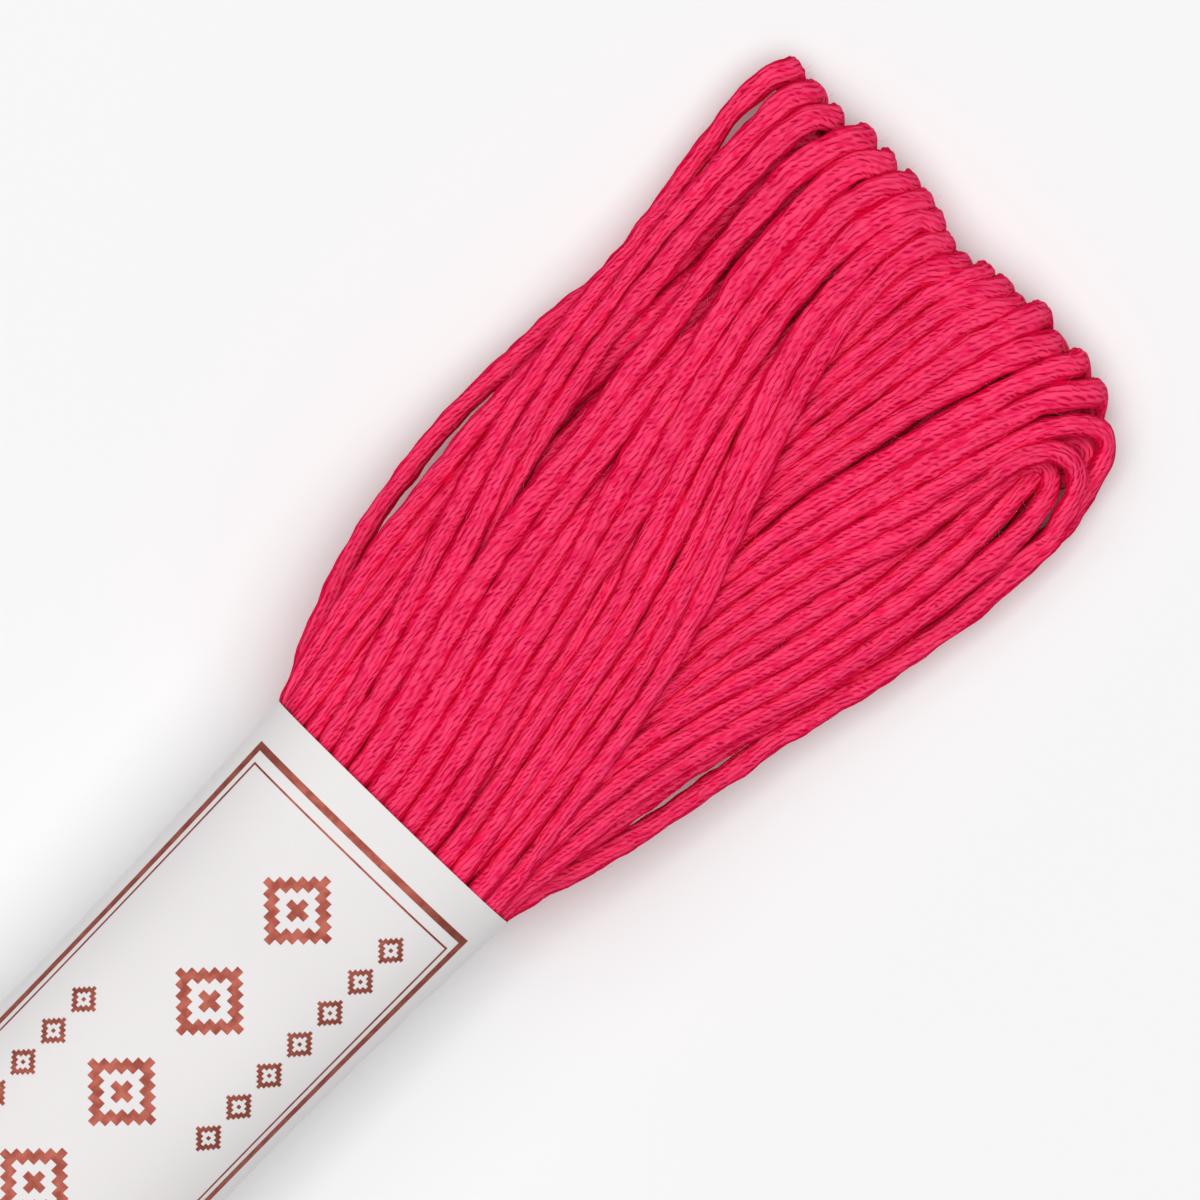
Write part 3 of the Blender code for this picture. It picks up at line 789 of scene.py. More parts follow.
    def _limits(self, across: Array) -> tuple[Array, Array]:
        """Finds how low and how high a strand's centre may lie.

        Args:
            across: Places across for each strand (rows) and station (columns).

        Returns:
            The lowest and the highest heights.
        """
        top, base = self.surface.heights(across)
        low, high = base + self.radius, top - self.radius
        middle = (low + high) / 2
        thin = low > high
        return np.where(thin, middle, low), np.where(thin, middle, high)

    def _from_slit(self, slit: Opening) -> tuple[Array, Array]:
        """Measures the strands against a slit.

        Args:
            slit: The slit.

        Returns:
            How far each strand lies to the left of it at every station, and which stations
            it passes.
        """
        points = np.array(slit.points, float)
        passed = (self.reach >= points[0, 0]) & (self.reach <= points[-1, 0])
        return self.across - np.interp(self.reach, points[:, 0], points[:, 1]), passed

    def _choose_sides(self) -> None:
        """Notes the side of every slit that each strand keeps to, 1 for the left."""
        free = np.array([strand.route is None for strand in self.strands])
        self.sides = []
        for slit in OPENINGS:
            away, passed = self._from_slit(slit)
            side = np.where(np.where(passed, away, 0.0).sum(axis=1) >= 0, 1.0, -1.0)
            if slit.free_side:
                side[free] = slit.free_side
            self.sides.append(side[:, None])

    def _settle(self) -> None:
        """Pushes the strands apart and holds them in, over and over, then takes out small kinks."""
        for _ in range(self.rounds):
            self._push_apart()
            self._keep_slits()
            self._pull_to_routes()
            self._smooth(self.stiffness * (1.0 - self.held_softness * self.hold[:, 1:-1]))
            self._hold_in()
        for _ in range(self.last_rounds):
            self._smooth(self.last_stiffness)
        self._hold_in()

    def _push_apart(self) -> None:
        """Moves overlapping strands away from each other, the held ones least."""
        across, height = self.across.astype(np.float32), self.height.astype(np.float32)
        sideways = across[:, None, :] - across[None, :, :]
        upward = height[:, None, :] - height[None, :, :]
        distance = np.sqrt(sideways**2 + upward**2 + 1e-4)
        overlap = np.maximum(self.packing - distance, 0.0)
        overlap *= self.live[:, None, :] & self.live[None, :, :]
        overlap[np.arange(len(across)), np.arange(len(across))] = 0.0
        loose = (1.0 - self.firmness * self.hold).astype(np.float32)
        share = loose[:, None, :] / (loose[:, None, :] + loose[None, :, :])
        push = self.push * overlap * share / distance
        self.across += (push * sideways).sum(axis=1)
        self.height += (push * upward).sum(axis=1)

    def _keep_slits(self) -> None:
        """Keeps every strand off the slits, on its own side of each."""
        for slit, side in zip(OPENINGS, self.sides):
            away, passed = self._from_slit(slit)
            room = self.radius + slit.half_width + self.slit_margin * (1.0 - self.hold)
            lacking = np.maximum(room - away * side, 0.0)
            if not slit.through:
                lacking *= self.hold
            self.across += np.where(passed, lacking * side * self.slit_push, 0.0)

    def _pull_to_routes(self) -> None:
        """Draws the routed strands back to their routes, and lets the free ones sink."""
        self.across += self.pull * self.hold * (self.aim - self.across)
        high = self._limits(self.across)[1]
        self.height += self.pull * self.hold * (high - self.below - self.height)
        self.height -= self.sink * (1.0 - self.hold)

    def _smooth(self, stiff: Array | float) -> None:
        """Straightens each strand a little along its length.

        Args:
            stiff: How far each place moves towards the line between its neighbours.
        """
        whole = self.live[:, :-2] & self.live[:, 1:-1] & self.live[:, 2:]
        for grid in (self.across, self.height):
            bend = grid[:, :-2] - 2 * grid[:, 1:-1] + grid[:, 2:]
            grid[:, 1:-1] += np.where(whole, stiff * bend, 0.0)

    def _hold_in(self) -> None:
        """Keeps the strands within the solids, and the free ones under the ones that show."""
        out = np.abs(self.surface.stations) - self.surface.band_half
        rooms = (self.room_in_band, self.room_at_mouth, self.room_on_fan)
        room = self.radius * np.interp(out, (-self.mouth_blend, 0.0, self.mouth_blend), rooms)
        self.across = np.clip(self.across, self.right + room, self.left - room)
        low, high = self._limits(self.across)
        cover = self.sunk * (1.0 - np.clip(self.hold * self.shown_hold, 0.0, 1.0))
        ahead = np.clip(self.reach / self.sunk_ramp, 0.0, 1.0)[None, :]
        high = np.maximum(high - cover * ahead, low)
        self.height = np.clip(self.height, low, high)

    def _fatten(self) -> None:
        """Lets each strand spread sideways till it meets its neighbours, and flattens it to suit.

        The strand keeps its area, so one that spreads grows thinner.
        """
        left, right = (np.full(self.across.shape, self.radius) for _ in range(2))
        for i in range(len(self.strands)):
            away = self.across - self.across[i]
            level = np.abs(self.height - self.height[i]) < self.same_level * self.packing
            beside = level & self.live & (np.abs(away) < self.reach_of_side)
            beside[i] = False
            for side, room in ((1, left), (-1, right)):
                apart = away * side
                gap = np.where(beside & (apart > self.least_gap), apart, np.inf).min(axis=0)
                met = np.isfinite(gap)
                gap = np.where(met, gap, 0.0)
                close = self._closeness(self.across[i] + side * gap / 2)
                room[i] = np.where(met, gap / 2 * close, self.radius)
        for slit in OPENINGS:
            away, passed = self._from_slit(slit)
            clear = np.maximum(np.abs(away) - slit.half_width, self.slit_reach[0])
            near = passed & (clear < self.slit_reach[1]) & (slit.through | (self.hold > self.well_held))
            right = np.where(near & (away > 0), np.minimum(right, clear), right)
            left = np.where(near & (away < 0), np.minimum(left, clear), left)
        within = np.abs(self.surface.stations) < self.surface.band_half + self.band_margin
        for room in (left, right):
            np.clip(room, *self.widths, out=room)
            room[:, within] = np.minimum(room[:, within], self.radius)
            for _ in range(self.even_rounds):
                room[:, 1:-1] = (room[:, :-2] + 2 * room[:, 1:-1] + room[:, 2:]) / 4
        self.across += (left - right) / 2
        self.half_width = (left + right) / 2
        self.half_height = np.clip(self.radius**2 / self.half_width, *self.heights)

    def _closeness(self, across: Array) -> Array:
        """Varies how far strands press into one another.

        Args:
            across: A place across each station.

        Returns:
            Width at each as a share of the room there: over 1, neighbours press together.
        """
        waves = [
            np.sin(TURN * self.reach / length + across * slant + phase)
            for length, slant, phase in self.pressing_waves
        ]
        return self.pressing + self.pressing_change * sum(waves)

    def _wander(self) -> None:
        """Gives each strand a slight waver of its own, as soft thread has."""
        stations = self.surface.stations
        for grid, reach in zip((self.across, self.height), self.waver):
            for strand in grid:
                for length in self.waver_lengths:
                    phase = self.random.uniform(0, TURN)
                    size = reach * self.random.uniform(*self.waver_sizes)
                    size = size * length / self.waver_lengths[0]
                    strand += size * np.sin(TURN * stations / length + phase)
        free = np.clip((np.abs(stations) - self.surface.band_half) / self.swell_ramp, 0.0, 1.0)
        for strand in self.height:
            phase = self.random.uniform(0, TURN)
            strand += self.swell * free * np.sin(TURN * stations / self.swell_length + phase)

    def run(self, index: int, toward_tip: bool, side: int) -> Array:
        """Points of one strand from the middle of the band to where its turn starts.

        Args:
            index: Which strand.
            toward_tip: Whether the points go outwards or come back in.
            side: 1 for the spread fan and -1 for the gathered one.

        Returns:
            Rows of along, across, height, half width and half height on the unswung skein.
        """
        stations = self.surface.stations
        chosen = (stations * side >= -1e-6) & self.live[index]
        grids = (self.across, self.height, self.half_width, self.half_height)
        points = np.stack([stations[chosen], *(grid[index, chosen] for grid in grids)], axis=1)
        outward = points if side > 0 else points[::-1]
        return outward if toward_tip else outward[::-1]


@dataclass
class Loop:
    """One strand out to the tips and its neighbour back, as one soft cord."""

    group: str
    detail: Detail
    points: Array


@dataclass
class LoopMaker:
    """Joins the settled strands in pairs where they turn back."""

    surface: CadSurface
    strands: StrandField
    turn_angles: Floats = (75, 50, 25, 0, -25, -50, -75)
    flat_radius: float = 0.74
    inner_short: float = 1.9
    inner_deep: float = 1.35
    inner_aside: float = 0.8
    core_tip: float = 47.6
    core_deep: float = 0.8
    gathered_tip: float = 40.6
    gathered_round: float = 0.012
    gathered_uneven: Pair = (0.5, 1.7)
    gathered_short: float = 1.7
    gathered_deep: Pair = (2.0, 1.1)
    gathered_stack: int = 4
    tip_bulge: float = 2.3
    tip_half_width: float = 1.0
    tip_half_height: float = 0.68
    tip_push: float = 0.22

    def spread_loops(self) -> list[Loop]:
        """Makes all the loops of the spread fan.

        Returns:
            The loops.
        """
        index = {strand.name: i for i, strand in enumerate(self.strands.strands)}
        loops = []
        for route in ROUTES:
            if route.layer is Layer.TOP:
                group = "upper" if route.name.startswith("A") else "inner"
                under = index[f"under_{route.name}"]
                loops.append(self._tip_loop(group, index[route.name], under, route))
        for turn in FLAT_TURNS:
            loops.append(self._flat_loop(turn, index))
        return loops + self._inner_loops() + self._core_loops()

    def _tip_loop(self, group: str, top: int, under: int, route: Route) -> Loop:
        """Makes a loop that shows at the tips, from the crown to the ground.

        Args:
            group: The piece that the loop goes in.
            top: The strand that goes out.
            under: The strand that comes back.
            route: The route of the one that goes out.

        Returns:
            The loop.
        """
        out = self.strands.run(top, True, 1)
        back = self.strands.run(under, False, 1)
        half = self.surface.band_half
        tip_reach = route.tip[0] - self.strands.radius + self.tip_push
        centre = tip_reach - self.tip_bulge
        rise = (out[-1, 2] - back[0, 2]) / 2
        middle = (out[-1, 2] + back[0, 2]) / 2
        last = out[-1, 0] - half
        aside = out[-1, 1] - self.strands.route_at(route, np.array([last]))[0][0]
        width = (out[-1, 3] + self.tip_half_width) / 2
        turn = []
        for angle in self.turn_angles:
            turned = math.radians(angle)
            reach = centre + self.tip_bulge * math.cos(turned)
            if angle > 0:
                near = np.clip((reach - last) / max(tip_reach - last, 0.1), 0.0, 1.0)
                laid = self.strands.route_at(route, np.array([min(reach, tip_reach)]))[0][0]
                across = laid + aside * (1 - near)
            else:
                across = route.tip[1] + (back[0, 1] - route.tip[1]) * -angle / 90
            if reach > last + 0.5:
                height = middle + rise * math.sin(turned)
                turn.append((half + reach, across, height, width, self.tip_half_height))
        return Loop(group, Detail.SHOWN, np.vstack([out, turn, back]))

    def _flat_loop(self, turn: FlatTurn, index: dict[str, int]) -> Loop:
        """Makes a loop that turns in the plane of the skein, at its right corner.

        Args:
            turn: The turn.
            index: Number of each strand, by name.

        Returns:
            The loop.
        """
        out = self.strands.run(index[turn.first], True, 1)
        back = self.strands.run(index[turn.second], False, 1)
        half = self.surface.band_half
        sizes = (self.flat_radius, self.flat_radius)
        bend = [(half + reach, *place, *sizes) for reach, *place in turn.bend]
        return Loop("outer", Detail.SHOWN, np.vstack([out, bend, back]))

    def _inner_loops(self) -> list[Loop]:
        """Makes the loops inside the outermost ones, paired from left to right.

        Returns:
            The loops.
        """
        bundle = self.strands
        highs, lows = (
            sorted(self._in_layer(layer), key=lambda i: -bundle.across[i, -1])
            for layer in (Layer.SECOND, Layer.THIRD)
        )
        tips = sorted((route.tip[1], route.tip[0]) for route in ROUTES if route.tip)
        places, reaches = zip(*tips)
        loops = []
        for high, low in zip(highs, lows):
            across = bundle.across[high, -1] - self.inner_aside
            tip = np.interp(across, places, reaches) - self.inner_short - bundle.radius
            shown = bundle.strands[high].route is not None
            group, detail = ("second", Detail.SHOWN) if shown else ("hidden", Detail.DEEP)
            loops.append(self._round_loop(group, detail, high, low, tip, self.inner_deep, 1))
        return loops

    def _core_loops(self) -> list[Loop]:
        """Makes the shortest loops, in the heart of the fan.

        Returns:
            The loops.
        """
        cores = self._in_layer(Layer.CORE)
        loops = []
        for pair in zip(cores[::2], cores[1::2]):
            high, low = sorted(pair, key=lambda i: -self.strands.height[i, -1])
            turn = (self.core_tip, self.core_deep, 1)
            loops.append(self._round_loop("hidden", Detail.DEEP, high, low, *turn))
        return loops

    def _in_layer(self, layer: Layer) -> list[int]:
        """Numbers of the strands that lie in a layer."""
        return [i for i, strand in enumerate(self.strands.strands) if strand.layer is layer]

    def _round_loop(
        self, group: str, detail: Detail, high: int, low: int, tip: float, deep: float, side: int
    ) -> Loop:
        """Makes a loop with a plain round turn.

        Args:
            group: Its piece.
            detail: How finely it's modelled.
            high: The strand that goes out.
            low: The strand that comes back.
            tip: Reach of the turn's furthest point on the cord's middle line.
            deep: How far the turn bulges past its two ends.
            side: 1 for the spread fan and -1 for the gathered one.

        Returns:
            The loop.
        """
        out = self.strands.run(high, True, side)
        back = self.strands.run(low, False, side)
        half = self.surface.band_half
        centre = tip - deep
        turn = []
        for turned in map(math.radians, self.turn_angles):
            share = (1 - math.sin(turned)) / 2
            reach = max(centre, abs(out[-1, 0]) - half + 0.1) + deep * math.cos(turned)
            point = out[-1] + (back[0] - out[-1]) * share
            turn.append((side * (half + reach), *point[1:]))
        return Loop(group, detail, np.vstack([out, turn, back]))

    def gathered_loops(self) -> list[Loop]:
        """Makes all the loops of the gathered fan, one round another in stacks of strands.

        Returns:
            The loops.
        """
        bundle, stack = self.strands, self.gathered_stack
        order = sorted(range(len(bundle.strands)), key=lambda i: -bundle.across[i, 0])
        size, rate = self.gathered_uneven
        loops = []
        for start in range(0, len(order), stack):
            group = sorted(order[start : start + stack], key=lambda i: -bundle.height[i, 0])
            across = float(np.mean([bundle.across[i, 0] for i in group]))
            tip = self.gathered_tip - self.gathered_round * across**2 + size * math.sin(across * rate)
            look = ("gathered_left" if across > 0 else "gathered_right", Detail.FAR)
            deep, less_deep = self.gathered_deep
            loops.append(self._round_loop(*look, group[0], group[-1], tip, deep, -1))
            if len(group) == stack:
                tip -= self.gathered_short
                loops.append(self._round_loop(*look, group[1], group[2], tip, less_deep, -1))
        return loops


@dataclass
class CordMaker:
    """Sweeps the plied cord along the loops and gathers them into pieces."""

    surface: CadSurface
    radius: float = 0.74
    plies: int = 11
    groove: float = 0.06
    pitch: float = 80.0
    turn_spacing: float = 0.34
    band_spacing: float = 2.5
    slope: float = 1.12
    levelling: float = 0.3
    uneven: float = 0.055
    drift: float = 0.4
    wave_total: float = 1.7
    bends: Pair = (0.08, 0.25)
    mouth_margin: float = 1.5
    short_waves: Floats = (11.0, 4.3, 2.2)
    long_waves: Floats = (47.0, 31.0, 19.0)
    random: np.random.Generator = field(init=False)

    def __post_init__(self) -> None:
        """Starts the maker's own run of random values."""
        self.random = np.random.default_rng(SEED + 1)

    def build(self, name: str, loops: list[Loop]) -> Piece:
        """Makes one mesh of many cords.

        Args:
            name: The piece's name.
            loops: The loops that it holds.

        Returns:
            The piece, linked to the scene.
        """
        verts, quads, uvs, tones, shaded_flanks, caps = [], [], [], [], [], []
        first = 0
        for loop in loops:
            rings, flank, travel, tone = self._rings(loop)
            count, around = rings.shape[:2]
            verts.append(rings.reshape(-1, 3))
            tones.append(np.full(count * around, tone))
            # How far to the side each point lies, which the material uses for painted shade on the flanks.
            shaded_flanks.append(flank.ravel())
            grid = first + np.arange(count * around).reshape(count, around)
            near, far = grid[:-1], grid[1:]
            beside = np.roll(grid, -1, axis=1)
            quads.append(np.stack([near, beside[:-1], beside[1:], far], axis=-1).reshape(-1, 4))
            step = self.plies / around
            ply = np.arange(around) * step
            u0, v0 = np.meshgrid(travel[:-1], ply, indexing="ij")
            u1 = np.meshgrid(travel[1:], ply, indexing="ij")[0]
            corner = [(u0, v0), (u0, v0 + step), (u1, v0 + step), (u1, v0)]
            uvs.append(np.stack([np.stack(pair, -1) for pair in corner], axis=2).reshape(-1, 2))
            caps.append((grid[0][::-1], grid[-1]))
            first += count * around
        return self._mesh(name, verts, quads, uvs, {TONE: tones, SHADED_FLANK: shaded_flanks}, caps)

    def _rings(self, loop: Loop) -> tuple[Array, Array, Array, float]:
        """Works out the rings of points round one cord.

        Its section turns as little as it can along the cord and is eased back to level, so a
        flattened cord lies flat again after a turn.

        Args:
            loop: The loop that the cord follows.

        Returns:
            The points in metres, how far to the side each lies from 0 to 1, the distances along
            the cord in mm, and its tone.
        """
        placed = np.array([[*self.surface.place(p[0], p[1]), *p[2:]] for p in loop.points])
        run = smooth_curve(placed, lambda line: self._spacing(line, loop.detail))
        line, half_width, half_height = run[:, :3], run[:, 3], run[:, 4]
        ahead = np.gradient(line, axis=0)
        ahead /= np.linalg.norm(ahead, axis=1)[:, None]
        travel = np.concatenate([[0.0], np.cumsum(np.linalg.norm(np.diff(line, axis=0), axis=1))])
        side = np.empty_like(line)
        side[0] = np.cross((0, 0, 1), ahead[0])
        for i in range(1, len(line)):
            turned = side[i - 1] - ahead[i] * float(np.dot(side[i - 1], ahead[i]))
            turned /= np.linalg.norm(turned)
            level = np.cross((0, 0, 1), ahead[i])
            level *= 1.0 if float(np.dot(level, turned)) >= 0 else -1.0
            turned = turned + self.levelling * level * float(np.linalg.norm(level))
            side[i] = turned / np.linalg.norm(turned)
        rise = np.cross(ahead, side)
        around = self.plies * loop.detail.ply_points
        phase = np.arange(around) / loop.detail.ply_points
        if loop.detail.ply_points == 1:
            phase = phase + 0.5
        start = self.random.uniform(0, TURN)
        wave = self._waves(travel, self.plies, self.uneven, self.short_waves)
        strength = 1.0 + wave[:, np.floor(phase).astype(int)]
        ridge = np.abs(np.sin(math.pi * phase))
        radius = self.radius * strength - self.groove * (1.0 - ridge)[None, :]
        radius *= 1.0 + self._waves(travel, 1, self.uneven, self.short_waves)
        drift = self._waves(travel, 1, self.drift, self.long_waves)[:, 0]
        twist = start + TURN * travel / self.pitch + drift
        angle = twist[:, None] + (TURN * phase / self.plies)[None, :]
        wide = (half_width / self.radius)[:, None]
        tall = (half_height / self.radius)[:, None]
        aside = self._pointed(np.cos(angle))
        x = aside * radius * wide
        y = self._pointed(np.sin(angle)) * radius * tall
        rings = line[:, None, :] + side[:, None, :] * x[..., None] + rise[:, None, :] * y[..., None]
        rings[..., 2] = np.maximum(rings[..., 2], 0.0)
        return rings * MM, np.abs(aside), travel, float(self.random.uniform(0, 1))

    def _spacing(self, run: Array, detail: Detail) -> Array:
        """Works out the ring spacing along a line: close in the turns and wide in the band.

        Args:
            run: The line's points.
            detail: How finely the cord is modelled.

        Returns:
            The spacing at each point.
        """
        ahead = np.gradient(run[:, :3], axis=0)
        length = np.linalg.norm(ahead, axis=1)
        ahead = ahead / length[:, None]
        bend = np.linalg.norm(np.gradient(ahead, axis=0), axis=1) / length
        share = np.clip((bend - self.bends[0]) / self.bends[1], 0.0, 1.0)
        spacing = detail.spacing + (self.turn_spacing - detail.spacing) * share
        hidden = np.abs(run[:, 0]) < self.surface.band_half - self.mouth_margin
        return np.where(hidden, self.band_spacing, spacing)

    def _pointed(self, share: Array) -> Array:
        """Draws the round section in a little between its four sides, so its shoulders slope."""
        return np.sign(share) * np.abs(share) ** self.slope

    def _waves(self, travel: Array, columns: int, size: float, lengths: Floats) -> Array:
        """Adds random waves along a cord.

        Args:
            travel: Distances along the cord.
            columns: How many plies have waves of their own.
            size: Size of the sum.
            lengths: Length of each wave.

        Returns:
            The sum, with a row for each distance and a column for each ply.
        """
        total = np.zeros((len(travel), columns))
        for length in lengths:
            phase = self.random.uniform(0, TURN, columns)
            total += np.sin(TURN * travel[:, None] / length + phase[None, :])
        return total * size / self.wave_total

    def _mesh(
        self,
        name: str,
        verts: list[Array],
        quads: list[Array],
        uvs: list[Array],
        values: dict[str, list[Array]],
        caps: list[tuple[Array, Array]],
    ) -> Piece:
        """Fills a mesh from arrays: side faces first, then the two ends of each cord.

        Args:
            name: The piece's name.
            verts: Points of each cord.
            quads: Corners of its side faces.
            uvs: Map values of those corners.
            values: Values at its points, by attribute.
            caps: Corners of its two end faces.

        Returns:
            The piece, linked to the scene.
        """
        points = np.concatenate(verts).astype(np.float32)
        sides = np.concatenate(quads).astype(np.int32)
        ends = [end for pair in caps for end in pair]
        corners = np.concatenate([sides.ravel(), *ends]).astype(np.int32)
        sizes = np.concatenate([np.full(len(sides), 4), [len(end) for end in ends]])
        starts = np.concatenate([[0], np.cumsum(sizes)[:-1]]).astype(np.int32)
        mesh = bpy.data.meshes.new(name)
        tables = (
            (mesh.vertices, "co", points, len(points)),
            (mesh.loops, "vertex_index", corners, len(corners)),
            (mesh.polygons, "loop_start", starts, len(starts)),
        )
        for table, title, numbers, count in tables:
            table.add(count)
            table.foreach_set(title, numbers.ravel())
        layer = mesh.uv_layers.new(name=CORD_MAP)
        flat = np.zeros((len(corners), 2), np.float32)
        flat[: len(sides) * 4] = np.concatenate(uvs)
        layer.data.foreach_set("uv", flat.ravel())
        for title, parts in values.items():
            attribute = mesh.attributes.new(title, "FLOAT", "POINT")
            attribute.data.foreach_set("value", np.concatenate(parts).astype(np.float32))
        mesh.update()
        mesh.validate()
        mesh.shade_smooth()
        return show(name, mesh)


@dataclass
class Graph:
    """Adds nodes to a node tree and links them."""

    tree: Tree

    def add(self, kind: str, inputs: dict | None = None, **settings: object) -> bpy.types.Node:
        """Adds a node.

        Args:
            kind: The node's type.
            inputs: Sockets or values for its inputs, by name or number.
            settings: The node's own settings.

        Returns:
            The node.
        """
        node = self.tree.nodes.new(kind)
        for name, value in settings.items():
            setattr(node, name, value)
        self.feed(node, inputs or {})
        return node

    def feed(self, node: bpy.types.Node, inputs: dict) -> None:
        """Links a node's inputs, or sets them on their own sockets where they're plain values.

        Args:
            node: The node.
            inputs: Sockets or values for its inputs, by name or number.
        """
        for key, value in inputs.items():
            if isinstance(value, Socket):
                self.tree.links.new(value, node.inputs[key])
            else:
                node.inputs[key].default_value = value

    def math(self, operation: str, *operands: object) -> Socket:
        """Works out a value from one or two others."""
        inputs = dict(enumerate(operands))
        return self.add("ShaderNodeMath", inputs, operation=operation).outputs[0]

    def plus(self, first: object, second: object) -> Socket:
        """Adds two values."""
        return self.math("ADD", first, second)

    def minus(self, first: object, second: object) -> Socket:
        """Takes one value from another."""
        return self.math("SUBTRACT", first, second)

    def times(self, first: object, second: object) -> Socket:
        """Multiplies two values."""
        return self.math("MULTIPLY", first, second)

    def point(self, x: object = 0.0, y: object = 0.0, z: object = 0.0) -> Socket:
        """Makes a vector of three values."""
        return self.add("ShaderNodeCombineXYZ", {0: x, 1: y, 2: z}).outputs[0]

    def ramp(self, value: object, span: Pair, result: Pair = (0.0, 1.0)) -> Socket:
        """Maps a value smoothly from one range to another.

        Args:
            value: The value.
            span: The two values that give the two results.
            result: The two results.

        Returns:
            The result's socket.
        """
        inputs = dict(enumerate((value, *span, *result)))
        return self.add("ShaderNodeMapRange", inputs, interpolation_type="SMOOTHSTEP").outputs[0]

    def blend(self, share: object, first: object, second: object, mode: str = "MIX") -> Socket:
        """Mixes two colours.

        Args:
            share: How much of the second.
            first: Colour or socket.
            second: Colour or socket.
            mode: The way of mixing.

        Returns:
            The colour's socket.
        """
        inputs = {0: share, 6: first, 7: second}
        return self.add("ShaderNodeMix", inputs, data_type="RGBA", blend_type=mode).outputs[2]

    def shade(self, colour: object, share: object) -> Socket:
        """Darkens a colour to a share of itself."""
        grey = self.add("ShaderNodeCombineColor", {0: share, 1: share, 2: share}).outputs[0]
        return self.blend(1.0, colour, grey, "MULTIPLY")

    def noise(self, vector: object, scale: float, detail: float) -> Socket:
        """Reads noise of a scale and a number of octaves at a place."""
        inputs = {"Vector": vector, "Scale": scale, "Detail": detail}
        return self.add("ShaderNodeTexNoise", inputs, noise_dimensions="3D").outputs[0]

    def bump(self, height: object, distance: float, strength: float) -> Socket:
        """Turns a height into fine relief of the normal."""
        inputs = {"Height": height, "Distance": distance, "Strength": strength}
        return self.add("ShaderNodeBump", inputs).outputs[0]

    def stand(self, points: Socket, shape: Socket, up: Socket, size: Socket, material: Socket) -> Socket:
        """Stands a copy of a shape on every point and dresses the copies.

        Args:
            points: The points.
            shape: What stands on them.
            up: Which way is up at each point.
            size: The copy's scale at each point.
            material: The copies' material.

        Returns:
            The mesh of all the copies.
        """
        turn = self.add("FunctionNodeAlignRotationToVector", {"Vector": up}, axis="Z").outputs[0]
        inputs = {"Points": points, "Instance": shape, "Rotation": turn, "Scale": size}
        placed = self.add("GeometryNodeInstanceOnPoints", inputs).outputs[0]
        real = self.add("GeometryNodeRealizeInstances", {0: placed}).outputs[0]
        dressed = {"Geometry": real, "Material": material}
        return self.add("GeometryNodeSetMaterial", dressed).outputs[0]


def start_group(
    name: str, kind: str, takes: dict[str, str], gives: dict[str, str]
) -> tuple[Graph, bpy.types.bpy_prop_collection, bpy.types.Node]:
    """Starts a node group.

    Args:
        name: The group's name.
        kind: The type of its tree.
        takes: Socket type of each input, by name.
        gives: Socket type of each output, by name.

    Returns:
        Its graph, the sockets that hold its inputs and the node that takes its outputs.
    """
    tree = bpy.data.node_groups.new(name, kind)
    for side, sockets in (("INPUT", takes), ("OUTPUT", gives)):
        for title, socket in sockets.items():
            tree.interface.new_socket(title, in_out=side, socket_type=socket)
    graph = Graph(tree)
    return graph, graph.add("NodeGroupInput").outputs, graph.add("NodeGroupOutput")


def start_material(name: str) -> tuple[Material, Graph, bpy.types.Node]:
    """Starts a material with a Principled BSDF.

    Args:
        name: The material's name.

    Returns:
        The material, its graph and its Principled BSDF.
    """
    material = bpy.data.materials.new(name)
    material.use_nodes = True
    graph = Graph(material.node_tree)
    return material, graph, material.node_tree.nodes["Principled BSDF"]


